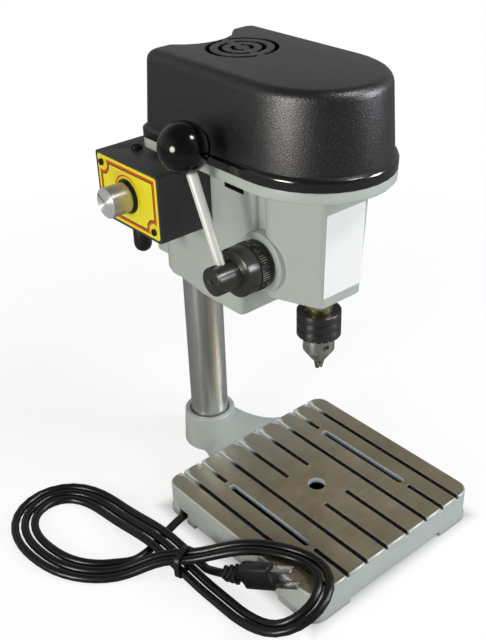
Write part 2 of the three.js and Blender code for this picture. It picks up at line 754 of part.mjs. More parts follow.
// Grooves, the two through slots and the centre hole of the table.
function tableCuts() {
	const top = BENCH_TO_TABLE;
	const groove = (x, from, to) => block(
		[x - GROOVE_WIDTH / 2, from, top - GROOVE_DEPTH],
		[x + GROOVE_WIDTH / 2, to, top + OVERRUN],
	);
	const front = TABLE_FRONT_Y - OVERRUN;
	const rear = TABLE_REAR_Y + OVERRUN;
	const [inner, second, slotted, outer] = GROOVE_OFFSETS;
	const tools = [];
	for (const side of [-1, 1]) {
		tools.push(groove(side * second, front, rear));
		tools.push(groove(side * outer, front, rear));
		tools.push(groove(side * inner, SPINDLE_Y + CENTRE_GROOVE_STOP, rear));
		tools.push(groove(side * inner, front, SPINDLE_Y - CENTRE_GROOVE_STOP));
		tools.push(groove(side * slotted, SPINDLE_Y + SLOTTED_GROOVE_STOP, rear));
		tools.push(groove(side * slotted, front, SPINDLE_Y - SLOTTED_GROOVE_STOP));
		const halfSlot = SLOT_LENGTH / 2;
		const low = [side * slotted - SLOT_WIDTH / 2, SPINDLE_Y - halfSlot];
		const high = [side * slotted + SLOT_WIDTH / 2, SPINDLE_Y + halfSlot];
		const outline = roundedBox(low, high, SLOT_WIDTH / 2 - SLIVER, 3);
		tools.push(prism(outline, top - TABLE_PLATE - OVERRUN, top + OVERRUN));
	}
	tools.push(disc(TABLE_HOLE_RADIUS, top - TABLE_PLATE - OVERRUN, top + OVERRUN, MEDIUM, 0, SPINDLE_Y));
	return tools;
}

// Where the lead passes under the skirt, at the rear and at the left.
function cordNotches() {
	const half = CORD_NOTCH_WIDTH / 2;
	const left = -TABLE_WIDTH / 2;
	return [
		block(
			[left - OVERRUN, LEFT_NOTCH_Y - half, -OVERRUN],
			[left + FOOT_WALL + OVERRUN, LEFT_NOTCH_Y + half, CORD_NOTCH_HEIGHT],
		),
		block(
			[REAR_NOTCH_X - half, TABLE_REAR_Y - FOOT_WALL - OVERRUN, -OVERRUN],
			[REAR_NOTCH_X + half, TABLE_REAR_Y + OVERRUN, CORD_NOTCH_HEIGHT],
		),
	];
}

function setScrew() {
	const length = BOSS_FOOT_RADIUS - COLUMN_RADIUS - SINK;
	const socket = disc(SET_SCREW_SOCKET, length - SET_SCREW_SOCKET_DEPTH, length + OVERRUN, 6);
	const screw = cut(disc(SET_SCREW_RADIUS, 0, length, COARSE), socket);
	return screw.rotateX(-Math.PI / 2).translate(0, COLUMN_RADIUS + FIT, SET_SCREW_HEIGHT);
}

const base = groupAt(0, 0, 0);
add(base, 'base_casting', baseCasting(), CAST_PAINT);
add(base, 'column_set_screw', setScrew(), DARK_STEEL);

// Column

const columnInner = COLUMN_RADIUS - COLUMN_WALL;
add(groupAt(0, 0, 0), 'column_tube', turned([
	[columnInner, COLUMN_BOTTOM], [COLUMN_RADIUS, COLUMN_BOTTOM],
	[COLUMN_RADIUS, COLUMN_TOP], [columnInner, COLUMN_TOP],
]), POLISHED_STEEL);

// Head casting

// The plan that the rim and the belt cover share: a round front and a hollow behind, round the column.
function coverOutline(inset, thickness = 0) {
	const half = COVER_HALF_WIDTH - inset - thickness;
	const reach = COVER_FRONT_REACH - inset - thickness;
	const rear = COVER_REAR_Y - inset - thickness;
	const recess = COVER_RECESS_RADIUS + inset * COVER_RECESS_SHARE + thickness;
	const corner = Math.max(COVER_REAR_CORNER - inset * COVER_CORNER_SHARE, COVER_CORNER_LEAST);
	const fillet = Math.max(COVER_RECESS_FILLET - inset * COVER_CORNER_SHARE, COVER_FILLET_LEAST);
	const front = [];
	for (let i = 0; i <= COVER_FRONT_STEPS; i++) {
		const angle = Math.PI * (1 + i / COVER_FRONT_STEPS);
		front.push([half * Math.cos(angle), COVER_ROUND_Y + reach * Math.sin(angle)]);
	}
	const filletX = Math.sqrt((recess + fillet) ** 2 - (rear - fillet) ** 2);
	const turn = THREE.MathUtils.radToDeg(Math.atan2(rear - fillet, filletX));
	const right = arc(half - corner, rear - corner, corner, 0, 90, 4);
	const rightFillet = arc(filletX, rear - fillet, fillet, 90, 180 + turn, 4);
	const hollow = arc(0, 0, recess, turn, -180 - turn, 8).slice(1, -1);
	const mirrored = (points) => points.map(([x, y]) => [-x, y]).reverse();
	return [...front, ...right, ...rightFillet, ...hollow, ...mirrored(rightFillet), ...mirrored(right)];
}

// The plan of the head's body: the clamp's round back, straight sides and a front with round corners.
function bodyOutline(frontY, corner, inset) {
	const half = HEAD_HALF_WIDTH - inset;
	const front = frontY + inset;
	return [
		...arc(-half + corner, front + corner, corner, 180, 270, 4),
		...arc(half - corner, front + corner, corner, 270, 360, 4),
		[half, SHOULDER_Y],
		...arc(0, 0, CLAMP_RADIUS - inset, -12, 192, 16),
		[-half, SHOULDER_Y],
	];
}

// The plan of the quill housing: a wedge from the front to its shoulders, then a neck that leaves a groove
// down each side, where it meets the body. Draft widens the front alone, and a flare the whole plan.
function housingOutline(draft, flare) {
	const front = HOUSING_HALF_FRONT + draft + flare;
	const frontY = HOUSING_FRONT_Y - draft - flare;
	const shoulder = HOUSING_HALF_SHOULDER + flare;
	const neck = HOUSING_HALF_NECK + flare;
	const rearY = UPPER_FRONT_Y + UPPER_CORNER + SINK;
	const slant = THREE.MathUtils.radToDeg(Math.atan2(shoulder - front, HOUSING_SHOULDER_Y - frontY));
	const middle = shoulder - HOUSING_SHOULDER_ROUND;
	const fall = THREE.MathUtils.radToDeg(Math.acos((neck - middle) / HOUSING_SHOULDER_ROUND));
	return [
		...arc(-front + HOUSING_CORNER, frontY + HOUSING_CORNER, HOUSING_CORNER, 180 + slant, 270, 4),
		...arc(front - HOUSING_CORNER, frontY + HOUSING_CORNER, HOUSING_CORNER, 270, 360 - slant, 4),
		...arc(middle, HOUSING_SHOULDER_Y, HOUSING_SHOULDER_ROUND, -slant, fall, 6),
		[neck, rearY],
		[-neck, rearY],
		...arc(-middle, HOUSING_SHOULDER_Y, HOUSING_SHOULDER_ROUND, 180 - fall, 180 + slant, 6),
	];
}

function headCasting() {
	const rim = loft([
		{ outline: coverOutline(FIT + TABLE_CHAMFER), z: RIM_BOTTOM },
		{ outline: coverOutline(FIT), z: RIM_BOTTOM + TABLE_CHAMFER },
		{ outline: coverOutline(FIT), z: RIM_TOP },
	]);
	const edgeStep = EDGE_ROUND * EDGE_STEP_SHARE;
	const lower = loft([
		{ outline: bodyOutline(LOWER_FRONT_Y, LOWER_CORNER, EDGE_ROUND * EDGE_FOOT_SHARE), z: CLAMP_BOTTOM },
		{ outline: bodyOutline(LOWER_FRONT_Y, LOWER_CORNER, edgeStep), z: CLAMP_BOTTOM + edgeStep },
		{ outline: bodyOutline(LOWER_FRONT_Y, LOWER_CORNER, 0), z: CLAMP_BOTTOM + EDGE_ROUND },
		{ outline: bodyOutline(LOWER_FRONT_Y, LOWER_CORNER, 0), z: HOUSING_BOTTOM + SINK },
	]);
	const upper = loft([
		{ outline: bodyOutline(UPPER_FRONT_Y, UPPER_CORNER, 0), z: HOUSING_BOTTOM },
		{ outline: bodyOutline(UPPER_FRONT_Y, UPPER_CORNER, 0), z: RIM_BOTTOM + SINK },
	]);
	const flareStart = RIM_BOTTOM - HOUSING_FLARE;
	const flareStep = HOUSING_FLARE * EDGE_STEP_SHARE;
	const housing = loft([
		{ outline: housingOutline(0, -TABLE_CHAMFER), z: HOUSING_BOTTOM },
		{ outline: housingOutline(0, 0), z: HOUSING_BOTTOM + TABLE_CHAMFER },
		{ outline: housingOutline(HOUSING_DRAFT, 0), z: flareStart },
		{ outline: housingOutline(HOUSING_DRAFT, flareStep), z: RIM_BOTTOM - flareStep },
		{ outline: housingOutline(HOUSING_DRAFT, HOUSING_FLARE), z: RIM_BOTTOM + SINK },
	]);
	const bossEdge = FEED_BOSS_ROUND * EDGE_STEP_SHARE;
	const feedBoss = turned([
		[0, HOUSING_HALF_FRONT], [FEED_BOSS_RADIUS, HOUSING_HALF_FRONT],
		[FEED_BOSS_RADIUS, FEED_BOSS_FACE - FEED_BOSS_ROUND],
		[FEED_BOSS_RADIUS - bossEdge, FEED_BOSS_FACE - bossEdge],
		[FEED_BOSS_RADIUS - FEED_BOSS_ROUND, FEED_BOSS_FACE], [0, FEED_BOSS_FACE],
	]).rotateY(-Math.PI / 2).translate(0, FEED_Y, FEED_Z);
	const springBoss = crossbar(
		SPRING_BOSS_RADIUS, HOUSING_HALF_FRONT, SPRING_BOSS_FACE, FEED_Y, FEED_Z, FINE,
	);
	const lugOutline = roundedBox(
		[-LUG_HALF_WIDTH, COLUMN_RADIUS + OVERRUN], [LUG_HALF_WIDTH, LUG_REACH], LUG_CORNER,
	);
	const lugs = prism(lugOutline, LUG_BOTTOM, LUG_BOTTOM + LUG_HEIGHT);
	return cut(join(rim, lower, upper, housing, feedBoss, springBoss, lugs, cordOutlet()), ...headCuts());
}

// A post behind the clamp that carries the cord gland, tied to the clamp by a web.
function cordOutlet() {
	const angle = THREE.MathUtils.degToRad(OUTLET_DEGREES);
	const web = block(
		[COLUMN_RADIUS + COLUMN_WALL, -OUTLET_RADIUS, OUTLET_BOTTOM],
		[OUTLET_REACH, OUTLET_RADIUS, OUTLET_BOTTOM + OUTLET_HEIGHT],
	).rotateZ(angle);
	const top = OUTLET_BOTTOM + OUTLET_HEIGHT;
	return join(disc(OUTLET_RADIUS, OUTLET_BOTTOM, top, MEDIUM, OUTLET_X, OUTLET_Y), web);
}

function headCuts() {
	const top = RIM_TOP + OVERRUN;
	const bearingSeat = RIM_TOP - PULLEY_BEARING_HEIGHT - FIT;
	const columnBore = disc(COLUMN_RADIUS + FIT, CLAMP_BOTTOM - OVERRUN, top);
	const slit = block(
		[-SLIT_WIDTH / 2, COLUMN_RADIUS - OVERRUN, CLAMP_BOTTOM - OVERRUN],
		[SLIT_WIDTH / 2, LUG_REACH + OVERRUN, SLIT_TOP],
	);
	const clampHole = crossbar(
		CLAMP_SCREW_RADIUS + FIT, -LUG_HALF_WIDTH - OVERRUN, LUG_HALF_WIDTH + OVERRUN,
		CLAMP_SCREW_Y, LUG_BOTTOM + LUG_HEIGHT / 2, COARSE,
	);
	const motorCavity = disc(MOTOR_CAVITY_RADIUS, MOTOR_CAVITY_BOTTOM, top, FINE, 0, MOTOR_Y);
	const pocket = block(
		[-POCKET_HALF_WIDTH, POCKET_FRONT_Y, POCKET_BOTTOM],
		[POCKET_HALF_WIDTH, MOTOR_Y, top],
	);
	const quillBore = disc(
		QUILL_RADIUS + FIT, HOUSING_BOTTOM - OVERRUN, QUILL_TOP + BEARING_LAND, FINE, 0, SPINDLE_Y,
	);
	const sleeveBore = disc(PULLEY_BORE_STEP, QUILL_TOP, top, MEDIUM, 0, SPINDLE_Y);
	const bearingBore = disc(PULLEY_BEARING_RADIUS + FIT, bearingSeat, top, FINE, 0, SPINDLE_Y);
	const gearRoom = PINION_PITCH_RADIUS + PINION_ADDENDUM + FIT;
	const gearBore = crossbar(
		Math.max(BORE_RIGHT_RADIUS, gearRoom), -PINION_HALF_WIDTH - FIT, SPRING_BOSS_FACE + OVERRUN,
		FEED_Y, FEED_Z,
	);
	const bushBore = crossbar(
		BUSH_RADIUS + FIT, -FEED_BOSS_FACE - OVERRUN, -PINION_HALF_WIDTH, FEED_Y, FEED_Z,
	);
	const slotFront = SIDE_SLOT_REAR_Y - SIDE_SLOT_LENGTH;
	const slotTop = SIDE_SLOT_BOTTOM + SIDE_SLOT_HEIGHT;
	const sideSlot = join(
		block(
			[-HEAD_HALF_WIDTH - OVERRUN, slotFront, SIDE_SLOT_BOTTOM],
			[-POCKET_HALF_WIDTH + OVERRUN, SIDE_SLOT_REAR_Y, slotTop - SIDE_SLOT_STEP],
		),
		block(
			[-HEAD_HALF_WIDTH - OVERRUN, slotFront + SIDE_SLOT_LOW_LENGTH, SIDE_SLOT_BOTTOM],
			[-POCKET_HALF_WIDTH + OVERRUN, SIDE_SLOT_REAR_Y, slotTop],
		),
	);
	const cableHole = crossbar(
		CABLE_HOLE_RADIUS, -HEAD_HALF_WIDTH - OVERRUN, 0, CABLE_HOLE_Y, CABLE_HOLE_Z, COARSE,
	);
	const outside = HEAD_HALF_WIDTH + HOUSING_FLARE;
	const keyHole = crossbar(
		KEY_SCREW_RADIUS + FIT, QUILL_RADIUS - OVERRUN, outside, SPINDLE_Y, KEY_SCREW_Z, COARSE,
	);
	const keySeat = crossbar(
		KEY_SCREW_HEAD + SINK, KEY_SCREW_SEAT - FIT, outside, SPINDLE_Y, KEY_SCREW_Z, COARSE,
	);
	const glandBore = disc(
		GLAND_STEM_RADIUS + FIT, OUTLET_BOTTOM - OVERRUN, OUTLET_BOTTOM + GLAND_STEM_LENGTH + FIT,
		COARSE, OUTLET_X, OUTLET_Y,
	);
	const plateHoles = plateCorners().map(([x, y]) => disc(
		PLATE_SCREW_RADIUS + FIT, RIM_TOP - PLATE_SCREW_DEPTH, top, SMALL, x, y,
	));
	return [
		columnBore, slit, clampHole, motorCavity, pocket, quillBore, sleeveBore, bearingBore, gearBore,
		bushBore, sideSlot, cableHole, keyHole, keySeat, glandBore, ...plateHoles,
	];
}

// Where the motor plate's four screws go.
function plateCorners() {
	const reach = PLATE_HALF - PLATE_SCREW_INSET;
	return [[-1, -1], [1, -1], [1, 1], [-1, 1]].map(([x, y]) => [x * reach, MOTOR_Y + y * reach]);
}

const head = groupAt(0, 0, 0);
add(head, 'head_casting', headCasting(), CAST_PAINT);

function clampScrew() {
	const reach = LUG_HALF_WIDTH + FIT;
	const screw = turned([
		[0, -reach], [CLAMP_SCREW_RADIUS, -reach], [CLAMP_SCREW_RADIUS, reach], [CLAMP_HEAD_RADIUS, reach],
		[CLAMP_HEAD_RADIUS, reach + CLAMP_HEAD_LENGTH], [0, reach + CLAMP_HEAD_LENGTH],
	], MEDIUM);
	const end = reach + CLAMP_HEAD_LENGTH;
	const socket = disc(CLAMP_SOCKET_RADIUS, end - CLAMP_SOCKET_DEPTH, end + OVERRUN, 6);
	return cut(screw, socket).rotateY(Math.PI / 2)
		.translate(0, CLAMP_SCREW_Y, LUG_BOTTOM + LUG_HEIGHT / 2);
}
add(head, 'clamp_screw', clampScrew(), DARK_STEEL);

function cordGland() {
	const seat = OUTLET_BOTTOM - FIT;
	const end = seat - GLAND_LENGTH;
	return turned([
		[0, end], [GLAND_END_RADIUS, end], [GLAND_NECK_RADIUS, seat - GLAND_FLANGE_HEIGHT],
		[GLAND_FLANGE_RADIUS, seat - GLAND_FLANGE_HEIGHT], [GLAND_FLANGE_RADIUS, seat],
		[GLAND_STEM_RADIUS, seat], [GLAND_STEM_RADIUS, seat + GLAND_STEM_LENGTH],
		[0, seat + GLAND_STEM_LENGTH],
	], MEDIUM).translate(OUTLET_X, OUTLET_Y, 0);
}
add(head, 'cord_gland', cordGland(), RUBBER);

// Motor, motor plate and screws

function motorPlate() {
	const outline = roundedBox(
		[-PLATE_HALF, MOTOR_Y - PLATE_HALF], [PLATE_HALF, MOTOR_Y + PLATE_HALF], PLATE_CORNER,
	);
	const bottom = RIM_TOP + FIT;
	const plate = prism(outline, bottom, bottom + PLATE_THICKNESS);
	const holes = plateCorners().map(([x, y]) => disc(
		PLATE_SCREW_RADIUS + FIT, bottom - OVERRUN, bottom + PLATE_THICKNESS + OVERRUN, SMALL, x, y,
	));
	const noseHole = disc(
		MOTOR_NOSE_RADIUS + FIT, bottom - OVERRUN, bottom + PLATE_THICKNESS + OVERRUN, MEDIUM, 0, MOTOR_Y,
	);
	const columnRelief = disc(
		COVER_RECESS_RADIUS + PLATE_RELIEF, bottom - OVERRUN, bottom + PLATE_THICKNESS + OVERRUN, FINE,
	);
	return cut(plate, noseHole, columnRelief, ...holes);
}

function motorCan() {
	const top = RIM_TOP;
	const bottom = top - MOTOR_LENGTH;
	return cut(turned([
		[0, bottom], [MOTOR_END_RADIUS, bottom], [MOTOR_RADIUS, bottom + MOTOR_END_BELL], [MOTOR_RADIUS, top],
		[MOTOR_NOSE_RADIUS, top], [MOTOR_NOSE_RADIUS, top + MOTOR_NOSE_LENGTH], [0, top + MOTOR_NOSE_LENGTH],
	]), disc(MOTOR_SHAFT_RADIUS + FIT, top - MOTOR_END_BELL, top + MOTOR_NOSE_LENGTH + OVERRUN, COARSE))
		.translate(0, MOTOR_Y, 0);
}

function plateScrew(x, y) {
	const seat = RIM_TOP + PLATE_THICKNESS + 2 * FIT;
	return turned([
		[0, RIM_TOP - PLATE_SCREW_DEPTH + SINK], [PLATE_SCREW_RADIUS, RIM_TOP - PLATE_SCREW_DEPTH + SINK],
		[PLATE_SCREW_RADIUS, seat], [PLATE_SCREW_HEAD, seat],
		[PLATE_SCREW_HEAD, seat + PLATE_SCREW_HEAD_HEIGHT],
		[0, seat + PLATE_SCREW_HEAD_HEIGHT],
	], SMALL).translate(x, y, 0);
}

add(head, 'motor_plate', motorPlate(), BRIGHT_STEEL);
add(head, 'motor_can', motorCan(), DARK_STEEL);
plateCorners().forEach(([x, y], i) => add(head, `plate_screw_${i + 1}`, plateScrew(x, y), BRIGHT_STEEL));

// Belt drive

// A grooved pulley on the Z axis with its hub between two heights.
function pulley(radius, bore, hub, hubBottom, hubTop, collar) {
	const half = PULLEY_WIDTH / 2;
	const rootHalf = BELT_BOTTOM_WIDTH / 2 + FIT;
	const mouthHalf = BELT_TOP_WIDTH / 2 + FIT;
	const root = radius - PULLEY_LIP - BELT_HEIGHT - FIT;
	const mouth = radius - PULLEY_LIP;
	return turned([
		[bore, hubBottom], [hub, hubBottom], [hub, RIM_TOP + SINK], [collar, RIM_TOP + SINK],
		[collar, BELT_PLANE - half], [radius, BELT_PLANE - half], [radius, BELT_PLANE - mouthHalf],
		[mouth, BELT_PLANE - mouthHalf], [root, BELT_PLANE - rootHalf], [root, BELT_PLANE + rootHalf],
		[mouth, BELT_PLANE + mouthHalf], [radius, BELT_PLANE + mouthHalf], [radius, BELT_PLANE + half],
		[hub, BELT_PLANE + half], [hub, hubTop], [bore, hubTop],
	], MEDIUM);
}

const spindlePulleys = groupAt(0, SPINDLE_Y, 0);
const pulleyHubBottom = RIM_TOP - PULLEY_BEARING_HEIGHT - FIT;
add(spindlePulleys, 'spindle_pulley', pulley(
	SPINDLE_PULLEY_RADIUS, SPINDLE_RADIUS + FIT, SPINDLE_PULLEY_HUB, pulleyHubBottom,
	SPINDLE_PULLEY_TOP, PULLEY_COLLAR_RADIUS,
), ALUMINIUM);
add(spindlePulleys, 'pulley_bearing', turned([
	[SPINDLE_PULLEY_HUB + FIT, pulleyHubBottom + FIT], [PULLEY_BEARING_RADIUS, pulleyHubBottom + FIT],
	[PULLEY_BEARING_RADIUS, RIM_TOP], [SPINDLE_PULLEY_HUB + FIT, RIM_TOP],
]), BRIGHT_STEEL);

const motorShafts = groupAt(0, MOTOR_Y, 0);
const motorHubBottom = RIM_TOP + MOTOR_NOSE_LENGTH + FIT;

function motorPulley() {
	const half = PULLEY_WIDTH / 2;
	const bore = MOTOR_SHAFT_RADIUS + FIT;
	const root = MOTOR_PULLEY_RADIUS - PULLEY_LIP - BELT_HEIGHT - FIT;
	const mouth = MOTOR_PULLEY_RADIUS - PULLEY_LIP;
	const rootHalf = BELT_BOTTOM_WIDTH / 2 + FIT;
	const mouthHalf = BELT_TOP_WIDTH / 2 + FIT;
	return turned([
		[bore, motorHubBottom], [MOTOR_PULLEY_HUB, motorHubBottom], [MOTOR_PULLEY_HUB, BELT_PLANE - half],
		[MOTOR_PULLEY_RADIUS, BELT_PLANE - half], [MOTOR_PULLEY_RADIUS, BELT_PLANE - mouthHalf],
		[mouth, BELT_PLANE - mouthHalf], [root, BELT_PLANE - rootHalf], [root, BELT_PLANE + rootHalf],
		[mouth, BELT_PLANE + mouthHalf], [MOTOR_PULLEY_RADIUS, BELT_PLANE + mouthHalf],
		[MOTOR_PULLEY_RADIUS, BELT_PLANE + half], [MOTOR_PULLEY_HUB, BELT_PLANE + half],
		[MOTOR_PULLEY_HUB, MOTOR_SHAFT_TOP - SINK], [bore, MOTOR_SHAFT_TOP - SINK],
	], MEDIUM);
}

add(motorShafts, 'motor_pulley', motorPulley(), ALUMINIUM);
add(motorShafts, 'motor_shaft', disc(
	MOTOR_SHAFT_RADIUS, RIM_TOP - MOTOR_END_BELL + FIT, MOTOR_SHAFT_TOP, COARSE,
), BRIGHT_STEEL);

// The belt's loop follows both pulleys' grooves and the tangents between them.
function belt() {
	const clear = PULLEY_LIP + BELT_HEIGHT;
	const far = SPINDLE_PULLEY_RADIUS - clear;
	const near = MOTOR_PULLEY_RADIUS - clear;
	const span = MOTOR_Y - SPINDLE_Y;
	const lean = THREE.MathUtils.radToDeg(Math.asin((far - near) / span));
	const path = [
		...arc(0, SPINDLE_Y, far, 180 - lean, 360 + lean, 24),
		...arc(0, MOTOR_Y, near, lean, 180 - lean, 14),
	];
	return sweptLoop(path, [
		[0, BELT_PLANE - BELT_BOTTOM_WIDTH / 2], [BELT_HEIGHT, BELT_PLANE - BELT_TOP_WIDTH / 2],
		[BELT_HEIGHT, BELT_PLANE + BELT_TOP_WIDTH / 2], [0, BELT_PLANE + BELT_BOTTOM_WIDTH / 2],
	]);
}
add(head, 'drive_belt', belt(), BELT_RUBBER);

// Belt cover

function ringSlots(radius) {
	const slots = [];
	const halfBridge = THREE.MathUtils.radToDeg(Math.asin(VENT_BRIDGE / 2 / radius));
	for (const start of [VENT_BRIDGE_DEGREES, VENT_BRIDGE_DEGREES + 180]) {
		const from = start + halfBridge;
		const to = start + 180 - halfBridge;
		const outline = [
			...arc(0, VENT_Y, radius + VENT_SLOT / 2, from, to, 10),
			...arc(0, VENT_Y, radius - VENT_SLOT / 2, to, from, 10),
		];
		slots.push(prism(outline, COVER_TOP - COVER_WALL - OVERRUN, COVER_TOP + OVERRUN));
	}
	return slots;
}

function beltCover() {
	const wall = COVER_FLANGE_STEP;
	const shoulder = COVER_TOP - COVER_TOP_ROUND;
	const drafted = wall + COVER_DRAFT;
	const outer = [
		{ outline: coverOutline(0), z: COVER_BOTTOM },
		{ outline: coverOutline(0), z: COVER_BOTTOM + COVER_FLANGE_HEIGHT - SINK },
		{ outline: coverOutline(wall / 3), z: COVER_BOTTOM + COVER_FLANGE_HEIGHT },
		{ outline: coverOutline(wall), z: COVER_BOTTOM + COVER_FLANGE_HEIGHT + SINK },
		{ outline: coverOutline(drafted), z: shoulder },
	];
	for (const degrees of [25, 50, 72, 90]) {
		const angle = THREE.MathUtils.degToRad(degrees);
		const inset = drafted + COVER_TOP_ROUND * (1 - Math.cos(angle));
		const z = shoulder + COVER_TOP_ROUND * Math.sin(angle);
		outer.push({ outline: coverOutline(inset), z });
	}
	const roof = COVER_TOP - COVER_WALL;
	const inner = [
		{ outline: coverOutline(wall, COVER_WALL), z: COVER_BOTTOM - OVERRUN },
		{ outline: coverOutline(drafted, COVER_WALL), z: shoulder },
		{ outline: coverOutline(drafted + COVER_TOP_ROUND / 4, COVER_WALL), z: roof - COVER_WALL },
		{ outline: coverOutline(drafted + COVER_TOP_ROUND * COVER_ROOF_SHARE, COVER_WALL), z: roof },
	];
	return cut(loft(outer), loft(inner), ...VENT_RADII.flatMap(ringSlots));
}
add(groupAt(0, 0, 0), 'belt_cover', beltCover(), COVER_PLASTIC);

// Quill with its rack

// What the cutter takes out of the quill's back to leave the rack's teeth, as a plate in y and z.
function rackCutter() {
	const pitch = Math.PI * MODULE;
	const slope = Math.tan(THREE.MathUtils.degToRad(PRESSURE_ANGLE));
	const tip = RACK_PITCH_LINE + RACK_ADDENDUM;
	const root = RACK_PITCH_LINE - RACK_DEDENDUM;
	const halfSpace = pitch / 4 + BACKLASH / 2;
	const first = Math.ceil((RACK_BOTTOM - FEED_Z) / pitch);
	const last = Math.floor((RACK_TOP - FEED_Z) / pitch);
	const outline = [[QUILL_RADIUS + OVERRUN, RACK_BOTTOM - pitch / 2], [tip, RACK_BOTTOM - pitch / 2]];
	for (let k = first; k <= last; k++) {
		const centre = FEED_Z + k * pitch;
		const mouth = halfSpace + RACK_ADDENDUM * slope;
		const floor = halfSpace - RACK_DEDENDUM * slope;
		outline.push([tip, centre - mouth], [root, centre - floor]);
		outline.push([root, centre + floor], [tip, centre + mouth]);
	}
	outline.push([tip, RACK_TOP + pitch / 2], [QUILL_RADIUS + OVERRUN, RACK_TOP + pitch / 2]);
	const plate = prism(outline, -RACK_HALF_WIDTH, RACK_HALF_WIDTH);
	return plate.applyMatrix4(new THREE.Matrix4().set(0, 0, 1, 0, 1, 0, 0, 0, 0, 1, 0, 0, 0, 0, 0, 1));
}

function quillSleeve() {
	const seat = BEARING_RADIUS + FIT;
	const depth = BEARING_HEIGHT + FIT;
	const tube = turned([
		[seat, QUILL_BOTTOM], [QUILL_RADIUS, QUILL_BOTTOM], [QUILL_RADIUS, QUILL_TOP], [seat, QUILL_TOP],
		[seat, QUILL_TOP - depth], [QUILL_BORE, QUILL_TOP - depth], [QUILL_BORE, QUILL_BOTTOM + depth],
		[seat, QUILL_BOTTOM + depth],
	]);
	const keyway = block(
		[QUILL_RADIUS - KEYWAY_DEPTH, -KEYWAY_WIDTH / 2, KEYWAY_BOTTOM],
		[QUILL_RADIUS + OVERRUN, KEYWAY_WIDTH / 2, KEYWAY_TOP],
	);
	return cut(tube, rackCutter(), keyway);
}

function ballBearing(bottom) {
	return turned([
		[SPINDLE_RADIUS + FIT, bottom], [BEARING_RADIUS, bottom],
		[BEARING_RADIUS, bottom + BEARING_HEIGHT], [SPINDLE_RADIUS + FIT, bottom + BEARING_HEIGHT],
	], MEDIUM);
}

const quill = groupAt(0, SPINDLE_Y, 0);
add(quill, 'quill_sleeve', quillSleeve(), BRIGHT_STEEL);
add(quill, 'quill_bearing_lower', ballBearing(QUILL_BOTTOM), BRIGHT_STEEL);
add(quill, 'quill_bearing_upper', ballBearing(QUILL_TOP - BEARING_HEIGHT), BRIGHT_STEEL);

function keyScrew() {
	const seat = KEY_SCREW_SEAT;
	const tip = QUILL_RADIUS - KEYWAY_DEPTH + FIT;
	return turned([
		[0, tip], [KEY_SCREW_TIP, tip], [KEY_SCREW_TIP, QUILL_RADIUS + FIT],
		[KEY_SCREW_RADIUS, QUILL_RADIUS + 2 * FIT], [KEY_SCREW_RADIUS, seat], [KEY_SCREW_HEAD, seat],
		[KEY_SCREW_HEAD, seat + KEY_SCREW_HEAD_HEIGHT], [0, seat + KEY_SCREW_HEAD_HEIGHT],
	], COARSE).rotateY(Math.PI / 2).translate(0, SPINDLE_Y, KEY_SCREW_Z);
}
add(head, 'quill_key_screw', keyScrew(), DARK_STEEL);

// Spindle and the gilt nut above the chuck

const spindle = groupAt(0, SPINDLE_Y, 0);
add(spindle, 'spindle_shaft', disc(SPINDLE_RADIUS, SPINDLE_BOTTOM, SPINDLE_TOP, MEDIUM), BRIGHT_STEEL);
const nutBottom = CHUCK_SLEEVE_TOP + FIT;
const nutTop = QUILL_BOTTOM - FIT;
add(spindle, 'spindle_nut', turned([
	[SPINDLE_RADIUS + FIT, nutBottom], [NUT_RADIUS - NUT_CHAMFER, nutBottom],
	[NUT_RADIUS, nutBottom + NUT_CHAMFER],
	[NUT_RADIUS, nutTop - NUT_CHAMFER], [NUT_RADIUS - NUT_CHAMFER, nutTop], [SPINDLE_RADIUS + FIT, nutTop],
], MEDIUM), GILT_STEEL);

// Chuck: body, sleeve with key teeth, ring nut and three slanted jaws

const jawSlope = THREE.MathUtils.degToRad(JAW_ANGLE);

// Puts a piece that is modelled on the Z axis into the slanted bore of jaw number k.
function slanted(geometry, k) {
	geometry.rotateY(jawSlope);
	geometry.translate(JAW_NOSE_OFFSET, 0, CHUCK_NOSE);
	return geometry.rotateZ(THREE.MathUtils.degToRad(JAW_DEGREES + k * 120));
}

function chuckBody() {
	const coreTop = CHUCK_SLEEVE_TOP - FIT;
	const body = turned([
		[0, CHUCK_CONE_BOTTOM], [CHUCK_CONE_RADIUS, CHUCK_CONE_BOTTOM],
		[CHUCK_BODY_RADIUS, CHUCK_BODY_BOTTOM],
		[CHUCK_BODY_RADIUS, CHUCK_SLEEVE_BOTTOM - FIT], [CHUCK_CORE_RADIUS, CHUCK_SLEEVE_BOTTOM - FIT],
		[CHUCK_CORE_RADIUS, coreTop], [0, coreTop],
	]);
	const tools = [
		disc(SPINDLE_RADIUS + FIT, SPINDLE_BOTTOM - FIT, CHUCK_SLEEVE_TOP + OVERRUN, MEDIUM),
		disc(DRILL_BORE_RADIUS, CHUCK_CONE_BOTTOM - OVERRUN, DRILL_BORE_TOP, COARSE),
	];
	for (let k = 0; k < 3; k++) {
		const jawBore = disc(
			JAW_RADIUS + JAW_BORE_SLACK, 0, JAW_LENGTH + CHUCK_SLEEVE_TOP - CHUCK_NOSE, COARSE,
		);
		tools.push(slanted(jawBore, k));
		const keyHole = new THREE.CylinderGeometry(
			KEY_HOLE_RADIUS, KEY_HOLE_RADIUS, KEY_HOLE_DEPTH + OVERRUN, COARSE,
		);
		keyHole.rotateZ(Math.PI / 2);
		keyHole.translate(CHUCK_BODY_RADIUS + (OVERRUN - KEY_HOLE_DEPTH) / 2, 0, KEY_HOLE_Z);
		tools.push(keyHole.rotateZ(THREE.MathUtils.degToRad(KEY_HOLE_DEGREES + k * 120)));
	}
	return cut(body, ...tools);
}

